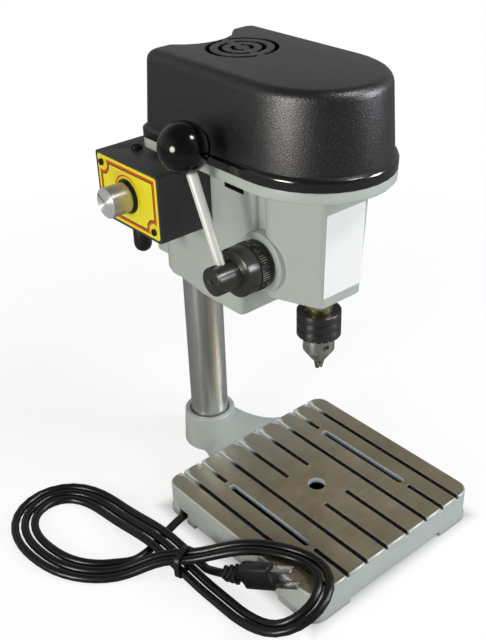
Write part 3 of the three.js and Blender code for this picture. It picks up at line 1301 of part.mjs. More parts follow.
function chuckSleeve() {
	const bottom = CHUCK_SLEEVE_BOTTOM;
	const lid = CHUCK_SLEEVE_TOP - CHUCK_SLEEVE_LID;
	const outside = [[CHUCK_SLEEVE_RADIUS, bottom]];
	for (const height of SLEEVE_GROOVES) {
		const low = bottom + height;
		const high = low + SLEEVE_GROOVE_HEIGHT;
		const deep = CHUCK_SLEEVE_RADIUS - SLEEVE_GROOVE_DEPTH;
		outside.push([CHUCK_SLEEVE_RADIUS, low], [deep, low], [deep, high], [CHUCK_SLEEVE_RADIUS, high]);
	}
	const sleeve = turned([
		[CHUCK_SLEEVE_ROOM, bottom], ...outside,
		[CHUCK_SLEEVE_RADIUS, CHUCK_SLEEVE_TOP - SLEEVE_CHAMFER],
		[CHUCK_SLEEVE_RADIUS - SLEEVE_CHAMFER, CHUCK_SLEEVE_TOP],
		[CHUCK_CORE_RADIUS + FIT, CHUCK_SLEEVE_TOP], [CHUCK_CORE_RADIUS + FIT, lid], [CHUCK_SLEEVE_ROOM, lid],
	], MEDIUM);
	const teeth = [];
	for (let k = 0; k < KEY_TEETH; k++) {
		const notch = prism(
			[[-KEY_TOOTH_HALF, -OVERRUN], [KEY_TOOTH_HALF, -OVERRUN], [0, KEY_TOOTH_DEPTH]],
			0, CHUCK_SLEEVE_RADIUS,
		);
		notch.rotateX(Math.PI / 2).translate(0, -CHUCK_SLEEVE_ROOM + FIT, bottom);
		teeth.push(notch.rotateZ((k / KEY_TEETH) * 2 * Math.PI));
	}
	return cut(sleeve, ...teeth);
}

// The ring nut's cone follows the outer side of the slanted jaws.
function ringNut() {
	const bottom = CHUCK_SLEEVE_BOTTOM;
	const top = bottom + RING_NUT_HEIGHT;
	const reach = JAW_NOSE_OFFSET + JAW_RADIUS / Math.cos(jawSlope) + FIT;
	const inside = (z) => reach + (z - CHUCK_NOSE) * Math.tan(jawSlope);
	return turned([
		[inside(bottom), bottom], [CHUCK_SLEEVE_ROOM - FIT, bottom],
		[CHUCK_SLEEVE_ROOM - FIT, top], [inside(top), top],
	]);
}

// A jaw is a slanted pin whose nose is cut to a third of a circle.
function chuckJaw(k) {
	const pin = slanted(disc(JAW_RADIUS, 0, JAW_LENGTH, COARSE), 0);
	const reach = CHUCK_SLEEVE_RADIUS;
	const top = CHUCK_NOSE + JAW_LENGTH + OVERRUN;
	const wedge = prism([
		[JAW_PARTING, 0], [JAW_PARTING + reach * Math.cos(Math.PI / 3), reach * Math.sin(Math.PI / 3)],
		[JAW_PARTING + 2 * reach, reach], [JAW_PARTING + 2 * reach, -reach],
		[JAW_PARTING + reach * Math.cos(Math.PI / 3), -reach * Math.sin(Math.PI / 3)],
	], CHUCK_NOSE - OVERRUN, top).rotateZ(THREE.MathUtils.degToRad(JAW_DEGREES));
	return common(pin, wedge).rotateZ(THREE.MathUtils.degToRad(k * 120));
}

const chuck = groupAt(0, SPINDLE_Y, 0);
add(chuck, 'chuck_body', chuckBody(), BRIGHT_STEEL);
add(chuck, 'chuck_sleeve', chuckSleeve(), DARK_STEEL);
add(chuck, 'chuck_ring_nut', ringNut(), DARK_STEEL);
for (let k = 0; k < 3; k++) add(chuck, `chuck_jaw_${k + 1}`, chuckJaw(k), BRIGHT_STEEL);

// Feed: everything turns on a line across the machine, modelled along Z and laid over to the left

const feed = groupAt(0, FEED_Y, FEED_Z);
feed.rotation.y = -Math.PI / 2;

function involute(angle) {
	return Math.tan(angle) - angle;
}

// The pinion's outline, tooth by tooth, its first tooth pointing at the rack.
function pinionOutline() {
	const pressure = THREE.MathUtils.degToRad(PRESSURE_ANGLE);
	const baseRadius = PINION_PITCH_RADIUS * Math.cos(pressure);
	const outer = PINION_PITCH_RADIUS + PINION_ADDENDUM;
	const root = PINION_PITCH_RADIUS - PINION_DEDENDUM;
	const halfAtPitch = Math.PI / (2 * PINION_TEETH) - BACKLASH / (2 * PINION_PITCH_RADIUS);
	const halfAt = (radius) => {
		const angle = Math.acos(Math.min(1, baseRadius / radius));
		return halfAtPitch + involute(pressure) - involute(angle);
	};
	const flank = [root, baseRadius, (baseRadius + PINION_PITCH_RADIUS) / 2, PINION_PITCH_RADIUS,
		(PINION_PITCH_RADIUS + outer) / 2, outer];
	const outline = [];
	for (let k = 0; k < PINION_TEETH; k++) {
		const middle = -Math.PI / 2 + (k / PINION_TEETH) * 2 * Math.PI;
		for (const side of [-1, 1]) {
			const radii = side < 0 ? flank : [...flank].reverse();
			for (const radius of radii) {
				const angle = middle + side * halfAt(Math.max(radius, baseRadius));
				outline.push([radius * Math.cos(angle), radius * Math.sin(angle)]);
			}
		}
	}
	return outline;
}

function pinionShaft() {
	const gear = prism(pinionOutline(), -PINION_HALF_WIDTH, PINION_HALF_WIDTH);
	const shaftEnd = HUB_BORE_END - FIT;
	const springEnd = SPRING_BOSS_FACE + SPRING_CAP_LENGTH - SPRING_CAP_WALL - FIT;
	return join(
		gear,
		disc(PINION_SHAFT_RADIUS, 0, shaftEnd, MEDIUM),
		disc(SPRING_SHAFT_RADIUS, -springEnd, 0, MEDIUM),
	);
}

function feedHub() {
	const neckEnd = FEED_BOSS_FACE + FIT;
	const collarFoot = neckEnd + DEPTH_RING_LENGTH + FIT;
	const collarTop = collarFoot + COLLAR_LENGTH;
	const bore = PINION_SHAFT_RADIUS + FIT;
	const hub = turned([
		[bore, neckEnd], [HUB_NECK_RADIUS, neckEnd],
		[HUB_NECK_RADIUS, collarFoot], [COLLAR_RADIUS, collarFoot],
		[COLLAR_RADIUS, collarTop - COLLAR_CHAMFER], [COLLAR_RADIUS - COLLAR_CHAMFER, collarTop],
		[HUB_RADIUS, collarTop], [HUB_RADIUS, HUB_FACE - COLLAR_CHAMFER / 2],
		[HUB_RADIUS - COLLAR_CHAMFER / 2, HUB_FACE],
		[0, HUB_FACE], [0, HUB_BORE_END], [bore, HUB_BORE_END],
	]);
	const centreMark = disc(HUB_CENTRE_RADIUS, HUB_FACE - HUB_CENTRE_DEPTH, HUB_FACE + OVERRUN, SMALL);
	const leverHole = leverAligned(disc(
		LEVER_FOOT_RADIUS + FIT, LEVER_FOOT - FIT, HUB_RADIUS + OVERRUN, COARSE,
	));
	return cut(hub, centreMark, leverHole, disc(bore, neckEnd - OVERRUN, HUB_BORE_END, MEDIUM));
}

// Turns a piece modelled on the Z axis to the lever's line across the hub.
function leverAligned(geometry) {
	geometry.rotateY(THREE.MathUtils.degToRad(90 - LEVER_OUT_DEGREES));
	geometry.rotateZ(THREE.MathUtils.degToRad(LEVER_LEAN_DEGREES));
	return geometry.translate(0, 0, LEVER_FROM_MIDDLE);
}

function leverRod() {
	const top = LEVER_BALL_REACH - BALL_RADIUS + LEVER_IN_BALL;
	return leverAligned(turned([
		[0, LEVER_FOOT], [LEVER_FOOT_RADIUS, LEVER_FOOT], [LEVER_FOOT_RADIUS, HUB_RADIUS + SINK],
		[LEVER_TOP_RADIUS, top - LEVER_IN_BALL - OVERRUN], [LEVER_TOP_RADIUS, top - LEVER_IN_BALL],
		[LEVER_FOOT_RADIUS, top - LEVER_IN_BALL + SINK], [LEVER_FOOT_RADIUS, top], [0, top],
	], MEDIUM));
}

function leverBall() {
	const ball = new THREE.SphereGeometry(BALL_RADIUS, MEDIUM, COARSE)
		.rotateX(Math.PI / 2).translate(0, 0, LEVER_BALL_REACH);
	const flat = LEVER_BALL_REACH - Math.sqrt(BALL_RADIUS ** 2 - BALL_SEAT_RADIUS ** 2);
	const seat = disc(BALL_RADIUS, LEVER_BALL_REACH - BALL_RADIUS - OVERRUN, flat, SMALL);
	const hole = disc(
		LEVER_TOP_RADIUS + FIT, LEVER_BALL_REACH - BALL_RADIUS - OVERRUN,
		LEVER_BALL_REACH - BALL_RADIUS + LEVER_IN_BALL + FIT, COARSE,
	);
	return leverAligned(cut(ball, seat, hole));
}

add(feed, 'pinion_shaft', pinionShaft(), BRIGHT_STEEL);
add(feed, 'feed_hub', feedHub(), DARK_STEEL);
add(feed, 'lever_rod', leverRod(), BRIGHT_STEEL);
add(feed, 'lever_ball', leverBall(), GLOSS_PLASTIC);

const ringFoot = FEED_BOSS_FACE + FIT;
add(feed, 'depth_ring', turned([
	[HUB_NECK_RADIUS + FIT, ringFoot], [DEPTH_RING_RADIUS - TABLE_CHAMFER, ringFoot],
	[DEPTH_RING_RADIUS, ringFoot + TABLE_CHAMFER], [DEPTH_RING_RADIUS, ringFoot + DEPTH_RING_LENGTH],
	[HUB_NECK_RADIUS + FIT, ringFoot + DEPTH_RING_LENGTH],
]), DARK_STEEL);

add(feed, 'pinion_bush_left', turned([
	[PINION_SHAFT_RADIUS + FIT, PINION_HALF_WIDTH + FIT], [BUSH_RADIUS, PINION_HALF_WIDTH + FIT],
	[BUSH_RADIUS, FEED_BOSS_FACE], [PINION_SHAFT_RADIUS + FIT, FEED_BOSS_FACE],
], MEDIUM), BRASS);
add(feed, 'pinion_bush_right', turned([
	[SPRING_SHAFT_RADIUS + FIT, -SPRING_BOSS_FACE], [BORE_RIGHT_RADIUS - FIT, -SPRING_BOSS_FACE],
	[BORE_RIGHT_RADIUS - FIT, -RIGHT_BUSH_START], [SPRING_SHAFT_RADIUS + FIT, -RIGHT_BUSH_START],
], MEDIUM), BRASS);

const capFoot = -SPRING_BOSS_FACE - FIT;
const capEnd = capFoot - SPRING_CAP_LENGTH;
const capInner = SPRING_CAP_RADIUS - SPRING_CAP_WALL;
add(feed, 'spring_housing', turned([
	[0, capEnd], [SPRING_CAP_RADIUS - SPRING_CAP_ROUND, capEnd],
	[SPRING_CAP_RADIUS, capEnd + SPRING_CAP_ROUND],
	[SPRING_CAP_RADIUS, capFoot], [capInner, capFoot], [capInner, capEnd + SPRING_CAP_WALL],
	[0, capEnd + SPRING_CAP_WALL],
]), DARK_STEEL);

// A flat strip wound outwards from the shaft to the housing's wall.
function returnSpring() {
	const inner = SPRING_SHAFT_RADIUS + FIT + SPRING_STRIP / 2;
	const outer = capInner - FIT - SPRING_STRIP / 2;
	const steps = SPRING_TURNS * SPRING_STEPS;
	const near = [];
	const far = [];
	for (let i = 0; i <= steps; i++) {
		const angle = (i / SPRING_STEPS) * 2 * Math.PI;
		const radius = inner + ((outer - inner) * i) / steps;
		const within = radius - SPRING_STRIP / 2;
		const without = radius + SPRING_STRIP / 2;
		near.push([within * Math.cos(angle), within * Math.sin(angle)]);
		far.push([without * Math.cos(angle), without * Math.sin(angle)]);
	}
	const bottom = capFoot - FIT - SPRING_WIDTH;
	return prism([...far, ...near.reverse()], bottom, bottom + SPRING_WIDTH);
}
add(feed, 'return_spring', returnSpring(), BRIGHT_STEEL);

// Control box

// The box's plan in y and z, drawn in from its outside by a margin.
function boxPlan(inset) {
	return roundedBox(
		[BOX_FRONT_Y + inset, BOX_BOTTOM + inset], [BOX_REAR_Y - inset, BOX_TOP - inset], BOX_CORNER,
	);
}

// Stands a prism drawn in y and z on its edge, so that it runs along X.
function acrossX(geometry) {
	return geometry.applyMatrix4(new THREE.Matrix4().set(0, 0, 1, 0, 1, 0, 0, 0, 0, 1, 0, 0, 0, 0, 0, 1));
}

const panelScrewPlaces = [
	[BOX_REAR_Y - PANEL_SCREW_INSET, BOX_TOP - PANEL_SCREW_INSET],
	[BOX_FRONT_Y + PANEL_SCREW_INSET, BOX_BOTTOM + PANEL_SCREW_INSET],
];
const boardPlaces = [
	[BOX_REAR_Y - BOX_WALL - BOARD_MARGIN, BOX_TOP - BOX_WALL - BOARD_MARGIN],
	[BOX_FRONT_Y + BOX_WALL + BOARD_MARGIN, BOX_BOTTOM + BOX_WALL + BOARD_MARGIN],
];
const standoffPlaces = [
	[boardPlaces[0][0] - STANDOFF_INSET, boardPlaces[0][1] - STANDOFF_INSET],
	[boardPlaces[1][0] + STANDOFF_INSET, boardPlaces[0][1] - STANDOFF_INSET],
	[boardPlaces[1][0] + STANDOFF_INSET, boardPlaces[1][1] + STANDOFF_INSET],
	[boardPlaces[0][0] - STANDOFF_INSET, boardPlaces[1][1] + STANDOFF_INSET],
];
const boardX = BOX_BACK_X - BOX_WALL - BOARD_STANDOFF - FIT;

function boxShell() {
	const outside = acrossX(prism(boxPlan(0), BOX_FACE_X, BOX_BACK_X));
	const rebate = acrossX(prism(boxPlan(PANEL_INSET - FIT), BOX_FACE_X - OVERRUN, BOX_OPEN_X));
	const room = block(
		[BOX_OPEN_X - OVERRUN, BOX_FRONT_Y + BOX_WALL, BOX_BOTTOM + BOX_WALL],
		[BOX_BACK_X - BOX_WALL, BOX_REAR_Y - BOX_WALL, BOX_TOP - BOX_WALL],
	);
	const posts = panelScrewPlaces.map(([y, z]) => crossbar(
		PANEL_POST_RADIUS, BOX_OPEN_X, BOX_OPEN_X + PANEL_POST_LENGTH, y, z, SMALL,
	));
	const standoffs = standoffPlaces.map(([y, z]) => crossbar(
		STANDOFF_RADIUS, BOX_BACK_X - BOX_WALL - BOARD_STANDOFF, BOX_BACK_X - SINK, y, z, SMALL,
	));
	const pilots = panelScrewPlaces.map(([y, z]) => crossbar(
		PANEL_SCREW_RADIUS + FIT, BOX_OPEN_X - OVERRUN, BOX_OPEN_X + PANEL_SCREW_LENGTH, y, z, SMALL,
	));
	const cable = crossbar(
		CABLE_HOLE_RADIUS, BOX_BACK_X - BOX_WALL - OVERRUN, BOX_BACK_X + OVERRUN,
		CABLE_HOLE_Y, CABLE_HOLE_Z, COARSE,
	);
	const topHole = disc(
		TOP_SCREW_RADIUS + FIT, BOX_TOP - BOX_WALL - OVERRUN, BOX_TOP + OVERRUN,
		SMALL, TOP_SCREW_X, TOP_SCREW_Y,
	);
	const fuseHole = disc(
		FUSE_HOLDER_RADIUS + FIT, BOX_BOTTOM - OVERRUN, BOX_BOTTOM + BOX_WALL + OVERRUN,
		COARSE, FUSE_X, FUSE_Y,
	);
	const clipped = common(join(...posts), block(
		[BOX_OPEN_X, BOX_FRONT_Y + SINK, BOX_BOTTOM + SINK], [BOX_BACK_X, BOX_REAR_Y - SINK, BOX_TOP - SINK],
	));
	return cut(join(cut(outside, room, rebate), clipped, ...standoffs), ...pilots, cable, topHole, fuseHole);
}

function panelPlate() {
	const plate = acrossX(prism(boxPlan(PANEL_INSET), BOX_FACE_X, BOX_FACE_X + PANEL_THICKNESS));
	const through = [BOX_FACE_X - OVERRUN, BOX_FACE_X + PANEL_THICKNESS + OVERRUN];
	const screwHoles = panelScrewPlaces.map(([y, z]) => crossbar(
		PANEL_SCREW_RADIUS + FIT, ...through, y, z, SMALL,
	));
	return cut(plate, crossbar(KNOB_SHAFT_RADIUS + FIT, ...through, KNOB_Y, KNOB_Z, COARSE), ...screwHoles);
}

// A screw along +X whose head rests on a face.
function sideScrew(face, y, z) {
	return turned([
		[0, -PANEL_SCREW_HEAD_HEIGHT], [PANEL_SCREW_HEAD, -PANEL_SCREW_HEAD_HEIGHT], [PANEL_SCREW_HEAD, 0],
		[PANEL_SCREW_RADIUS, 0], [PANEL_SCREW_RADIUS, PANEL_SCREW_LENGTH], [0, PANEL_SCREW_LENGTH],
	], SMALL).rotateY(Math.PI / 2).translate(face - FIT, y, z);
}

function circuitBoard() {
	const [high, low] = boardPlaces;
	const boardOutline = roundedBox(low, high, BOX_CORNER);
	const board = acrossX(prism(boardOutline, boardX - BOARD_THICKNESS, boardX));
	const face = boardX - BOARD_THICKNESS;
	const [, , [standY, standZ]] = standoffPlaces;
	const capacitor = crossbar(
		CAPACITOR_RADIUS, face + SINK / 2, face - CAPACITOR_LENGTH,
		standY + CAPACITOR_RADIUS, standZ + CAPACITOR_RADIUS, COARSE,
	);
	const heatsink = block(
		[face - HEATSINK_DEPTH, high[0] - STANDOFF_INSET - HEATSINK_WIDTH, low[1] + STANDOFF_INSET],
		[face + SINK / 2, high[0] - STANDOFF_INSET, low[1] + STANDOFF_INSET + HEATSINK_HEIGHT],
	);
	return join(board, capacitor, heatsink);
}

add(head, 'control_box_shell', boxShell(), BOX_PLASTIC);
add(head, 'control_panel', panelPlate(), PANEL_YELLOW);
panelScrewPlaces.forEach(([y, z], i) => {
	add(head, `panel_screw_${i + 1}`, sideScrew(BOX_FACE_X, y, z), DARK_STEEL);
});
add(head, 'circuit_board', circuitBoard(), BOARD_GREEN);

const boxTopScrew = turned([
	[0, -TOP_SCREW_LENGTH], [TOP_SCREW_RADIUS, -TOP_SCREW_LENGTH], [TOP_SCREW_RADIUS, 0], [TOP_SCREW_HEAD, 0],
	[TOP_SCREW_HEAD, TOP_SCREW_HEAD_HEIGHT / 2], [TOP_SCREW_HEAD / 2, TOP_SCREW_HEAD_HEIGHT],
	[0, TOP_SCREW_HEAD_HEIGHT],
], COARSE).translate(TOP_SCREW_X, TOP_SCREW_Y, BOX_TOP + FIT);
add(head, 'box_top_screw', boxTopScrew, DARK_STEEL);

const potFront = BOX_FACE_X + PANEL_THICKNESS + FIT;
add(head, 'potentiometer', cut(
	crossbar(POT_RADIUS, potFront, potFront + POT_LENGTH, KNOB_Y, KNOB_Z),
	crossbar(
		KNOB_SHAFT_RADIUS + FIT, potFront - OVERRUN, potFront + POT_LENGTH - SINK, KNOB_Y, KNOB_Z, COARSE,
	),
), DARK_STEEL);

// Speed knob, modelled along Z and laid over to the left
const speed = groupAt(0, KNOB_Y, KNOB_Z);
speed.rotation.y = -Math.PI / 2;
const skirtFoot = -BOX_FACE_X + FIT;
const knobFoot = skirtFoot + KNOB_SKIRT_HEIGHT + FIT;
const knobFace = knobFoot + KNOB_LENGTH;
add(speed, 'knob_skirt', turned([
	[KNOB_SHAFT_RADIUS + FIT, skirtFoot], [KNOB_SKIRT_RADIUS, skirtFoot],
	[KNOB_SKIRT_RADIUS - KNOB_CHAMFER, skirtFoot + KNOB_SKIRT_HEIGHT],
	[KNOB_SHAFT_RADIUS + FIT, skirtFoot + KNOB_SKIRT_HEIGHT],
]), RUBBER);
add(speed, 'speed_knob', turned([
	[KNOB_SHAFT_RADIUS + FIT, knobFoot], [KNOB_RADIUS, knobFoot], [KNOB_RADIUS, knobFace - KNOB_CHAMFER],
	[KNOB_RADIUS - KNOB_CHAMFER, knobFace], [0, knobFace], [0, knobFoot + KNOB_BORE_DEPTH],
	[KNOB_SHAFT_RADIUS + FIT, knobFoot + KNOB_BORE_DEPTH],
]), ALUMINIUM);
add(speed, 'knob_shaft', disc(
	KNOB_SHAFT_RADIUS, -potFront - POT_LENGTH + SINK + FIT, knobFoot + KNOB_BORE_DEPTH - FIT, COARSE,
), BRIGHT_STEEL);

// Fuse holder inside the box and the round cap under it
const fuseSeat = BOX_BOTTOM + BOX_WALL;
const fuseHolder = turned([
	[FUSE_STEM_RADIUS + FIT, BOX_BOTTOM], [FUSE_HOLDER_RADIUS, BOX_BOTTOM],
	[FUSE_HOLDER_RADIUS, fuseSeat + FIT],
	[FUSE_HOLDER_RADIUS + SINK, fuseSeat + FIT], [FUSE_HOLDER_RADIUS + SINK, fuseSeat + FUSE_HOLDER_LENGTH],
	[0, fuseSeat + FUSE_HOLDER_LENGTH], [0, BOX_BOTTOM + FUSE_STEM_LENGTH + FIT],
	[FUSE_STEM_RADIUS + FIT, BOX_BOTTOM + FUSE_STEM_LENGTH + FIT],
], COARSE).translate(FUSE_X, FUSE_Y, 0);
add(head, 'fuse_holder', fuseHolder, RUBBER);

function fuseCap() {
	const top = BOX_BOTTOM - FIT;
	const bottom = top - FUSE_CAP_LENGTH;
	const profile = [[0, bottom]];
	for (const degrees of [-65, -40, -15]) {
		const angle = THREE.MathUtils.degToRad(degrees);
		profile.push([
			FUSE_CAP_RADIUS - FUSE_CAP_ROUND + FUSE_CAP_ROUND * Math.cos(angle),
			bottom + FUSE_CAP_ROUND + FUSE_CAP_ROUND * Math.sin(angle),
		]);
	}
	profile.push([FUSE_CAP_RADIUS, bottom + FUSE_CAP_ROUND], [FUSE_CAP_RADIUS, top], [FUSE_STEM_RADIUS, top]);
	profile.push([FUSE_STEM_RADIUS, top + FUSE_STEM_LENGTH], [0, top + FUSE_STEM_LENGTH]);
	return turned(profile, MEDIUM);
}
add(groupAt(FUSE_X, FUSE_Y, 0), 'fuse_cap', fuseCap(), RUBBER);

// Mains lead: the drop behind the column, the stretch on the floor, the hank, the tail and the plug

const lead = groupAt(0, 0, 0);
const dropTop = OUTLET_BOTTOM - FIT - GLAND_LENGTH - FIT;
const dropPoints = [];
for (let i = 0; i <= DROP_STEPS; i++) {
	dropPoints.push([OUTLET_X, OUTLET_Y, dropTop + ((DROP_END_Z - dropTop) * i) / DROP_STEPS]);
}
add(lead, 'cord_drop', cordAlong(dropPoints, DROP_STEPS), RUBBER);

// A closed ring that runs smoothly past its guide points, as a uniform cubic B-spline does.
function guidedRing(guide, steps) {
	const ring = [];
	guide.forEach((_, i) => {
		const near = [-1, 0, 1, 2].map((k) => guide[(i + k + guide.length) % guide.length]);
		for (let k = 0; k < steps; k++) {
			const w = k / steps;
			const shares = [
				(1 - w) ** 3, 3 * w ** 3 - 6 * w ** 2 + 4, -3 * w ** 3 + 3 * w ** 2 + 3 * w + 1, w ** 3,
			];
			const point = new THREE.Vector3();
			near.forEach((place, j) => point.addScaledVector(new THREE.Vector3(...place), shares[j] / 6));
			ring.push(point);
		}
	});
	return ring;
}
const hankCurve = new THREE.CatmullRomCurve3(
	guidedRing(HANK_GUIDE, HANK_GUIDE_STEPS), true, 'centripetal',
);

// The hank's centre line after a number of turns: the base curve, moved aside by one pitch a turn.
function hankPoint(turns) {
	const share = turns - Math.floor(turns);
	const base = hankCurve.getPointAt(share);
	const along = hankCurve.getTangentAt(share).setZ(0).normalize();
	const aside = HANK_PITCH * (turns - HANK_MIDDLE_TURN);
	const rise = Math.max(base.z, 0);
	return new THREE.Vector3(base.x - along.y * aside, base.y + along.x * aside, CORD_RADIUS + rise);
}

const hankTurns = HANK_LAST_TURN - HANK_FIRST_TURN;
const hankSteps = Math.round(hankTurns * HANK_STEPS_PER_TURN);
const hankPoints = [];
for (let i = 0; i <= hankSteps; i++) {
	hankPoints.push(hankPoint(HANK_FIRST_TURN + (i / hankSteps) * hankTurns));
}
const hankStart = hankPoints[0];
const hankEnd = hankPoints[hankSteps];
const startRun = hankPoints[0].clone().sub(hankPoints[1]).setZ(0).normalize();
startRun.applyAxisAngle(new THREE.Vector3(0, 0, 1), THREE.MathUtils.degToRad(HANK_ENTRY_DEGREES));
const endRun = hankPoints[hankSteps].clone().sub(hankPoints[hankSteps - 1]).normalize();
hankPoints.unshift(hankStart.clone().addScaledVector(startRun, CORD_DIAMETER));
hankPoints.push(hankEnd.clone().addScaledVector(endRun, CORD_DIAMETER));
add(lead, 'cord_hank', tubeThrough(hankPoints, CORD_RADIUS, HANK_SIDES), RUBBER);

// The least gap between strands, measured on points more than a few diameters apart along the cord.
function leastGap(points) {
	const dense = [];
	for (let i = 0; i + 1 < points.length; i++) {
		for (let k = 0; k < 4; k++) dense.push(points[i].clone().lerp(points[i + 1], k / 4));
	}
	const lengths = [0];
	for (let i = 1; i < dense.length; i++) lengths.push(lengths[i - 1] + dense[i].distanceTo(dense[i - 1]));
	let least = Infinity;
	for (let i = 0; i < dense.length; i++) {
		for (let j = i + 1; j < dense.length; j++) {
			if (lengths[j] - lengths[i] < 5 * CORD_DIAMETER) continue;
			least = Math.min(least, dense[i].distanceTo(dense[j]) - CORD_DIAMETER);
		}
	}
	return { least, length: lengths[lengths.length - 1] };
}
const measured = leastGap(hankPoints);
console.log(`hank: least gap ${measured.least.toFixed(2)} mm, length ${measured.length.toFixed(0)} mm`);

const stretchEnd = hankPoints[0].clone().addScaledVector(startRun, FIT);
const stretchRun = stretchEnd.clone().addScaledVector(startRun, CORD_RADIUS);
const floorPoints = [...FLOOR_STRETCH, stretchRun.toArray(), stretchEnd.toArray()];
add(lead, 'cord_floor_stretch', cordAlong(floorPoints, FLOOR_STRETCH_STEPS), RUBBER);

// Plug, modelled along Z from the end of its strain relief and laid along its line
const plugStart = new THREE.Vector3(...PLUG_START);
const plugAxis = new THREE.Vector3(...PLUG_TIP).sub(plugStart).normalize();
const tailStart = hankPoints[hankPoints.length - 1].clone().addScaledVector(endRun, FIT);
const tailEnd = plugStart.clone().addScaledVector(plugAxis, -FIT);
add(lead, 'cord_tail', cordAlong([
	tailStart.toArray(), tailStart.clone().addScaledVector(endRun, CORD_RADIUS).toArray(),
	tailEnd.clone().addScaledVector(plugAxis, -CORD_RADIUS).toArray(), tailEnd.toArray(),
], TAIL_STEPS), RUBBER);

function plugSection(width, thickness, corner) {
	return roundedBox([-thickness / 2, -width / 2], [thickness / 2, width / 2], corner, 3);
}

const plug = groupAt(...PLUG_START);
const plugAside = new THREE.Vector3(0, 0, 1).cross(plugAxis).normalize();
const plugUp = plugAxis.clone().cross(plugAside);
plug.setRotationFromMatrix(new THREE.Matrix4().makeBasis(plugAside, plugUp, plugAxis));
const bodyStart = PLUG_RELIEF_LENGTH;
const bodyEnd = bodyStart + PLUG_BODY_LENGTH;
const reliefSide = 2 * PLUG_RELIEF_RADIUS;
const shoulderSide = PLUG_THICKNESS - PLUG_CORNER;
add(plug, 'plug_body', loft([
	{ outline: plugSection(CORD_DIAMETER + FIT, CORD_DIAMETER + FIT, CORD_RADIUS - FIT), z: 0 },
	{ outline: plugSection(reliefSide, reliefSide, PLUG_RELIEF_RADIUS - FIT), z: bodyStart },
	{
		outline: plugSection(PLUG_WIDTH - PLUG_CORNER, shoulderSide, PLUG_RELIEF_RADIUS - FIT - SINK),
		z: bodyStart + SINK,
	},
	{ outline: plugSection(PLUG_WIDTH, PLUG_THICKNESS, PLUG_CORNER), z: bodyStart + PLUG_CORNER },
	{ outline: plugSection(PLUG_WIDTH, PLUG_THICKNESS, PLUG_CORNER), z: bodyEnd - PLUG_NOSE_SHRINK },
	{
		outline: plugSection(PLUG_WIDTH - PLUG_NOSE_SHRINK, PLUG_THICKNESS - PLUG_NOSE_SHRINK, PLUG_CORNER),
		z: bodyEnd,
	},
]), RUBBER);
const bladeLength = new THREE.Vector3(...PLUG_TIP).distanceTo(plugStart) - bodyEnd;
[-1, 1].forEach((side, i) => add(plug, `plug_blade_${i + 1}`, block(
	[-BLADE_HEIGHT / 2, side * BLADE_SPACING / 2 - BLADE_WIDTH / 2, bodyEnd + BLADE_ROOT],
	[BLADE_HEIGHT / 2, side * BLADE_SPACING / 2 + BLADE_WIDTH / 2, bodyEnd + bladeLength],
), BRASS));

// Where the hank's strands pass through the tie's plane, each as its distance aside and its height.
function strandsInTie() {
	const turn = THREE.MathUtils.degToRad(TIE_TURN_DEGREES);
	const aside = new THREE.Vector3(Math.cos(turn), Math.sin(turn), 0);
	const ahead = new THREE.Vector3(-Math.sin(turn), Math.cos(turn), 0);
	const centre = new THREE.Vector3(TIE_X, TIE_Y, 0);
	const found = [];
	for (let i = 0; i + 1 < hankPoints.length; i++) {
		const from = hankPoints[i].clone().sub(centre);
		const to = hankPoints[i + 1].clone().sub(centre);
		const start = from.dot(ahead);
		const end = to.dot(ahead);
		if (start * end >= 0) continue;
		const crossing = from.lerp(to, start / (start - end));
		found.push([crossing.dot(aside), crossing.z]);
	}
	return found;
}

// The taut outline round circles of one radius about the given centres, anticlockwise.
function tautOutline(centres, radius) {
	const points = centres.flatMap(([x, y]) => Array.from({ length: TIE_ROUND_STEPS }, (_, i) => {
		const angle = (2 * Math.PI * i) / TIE_ROUND_STEPS;
		return [x + radius * Math.cos(angle), y + radius * Math.sin(angle)];
	})).sort((a, b) => a[0] - b[0] || a[1] - b[1]);
	const half = (ordered) => {
		const kept = [];
		ordered.forEach((point) => {
			while (kept.length > 1) {
				const [a, b] = kept.slice(-2);
				if ((b[0] - a[0]) * (point[1] - a[1]) - (b[1] - a[1]) * (point[0] - a[0]) > 0) break;
				kept.pop();
			}
			kept.push(point);
		});
		return kept.slice(0, -1);
	};
	return [...half(points), ...half([...points].reverse())];
}

// The tie drawn tight round the hank's waist
function hankTie() {
	const strands = strandsInTie();
	const inside = tautOutline(strands, TIE_INNER_RADIUS);
	const outside = tautOutline(strands, TIE_INNER_RADIUS + TIE_THICKNESS);
	const band = cut(prism(outside, 0, TIE_BAND), prism(inside, -OVERRUN, TIE_BAND + OVERRUN));
	return band.translate(0, 0, -TIE_BAND / 2).rotateX(Math.PI / 2)
		.rotateZ(THREE.MathUtils.degToRad(TIE_TURN_DEGREES)).translate(TIE_X, TIE_Y, 0);
}
add(lead, 'hank_tie', hankTie(), RUBBER);

export default machine;
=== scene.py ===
from math import atan2, cos, floor, pi, radians, sin

import bpy
from mathutils import Matrix, Vector


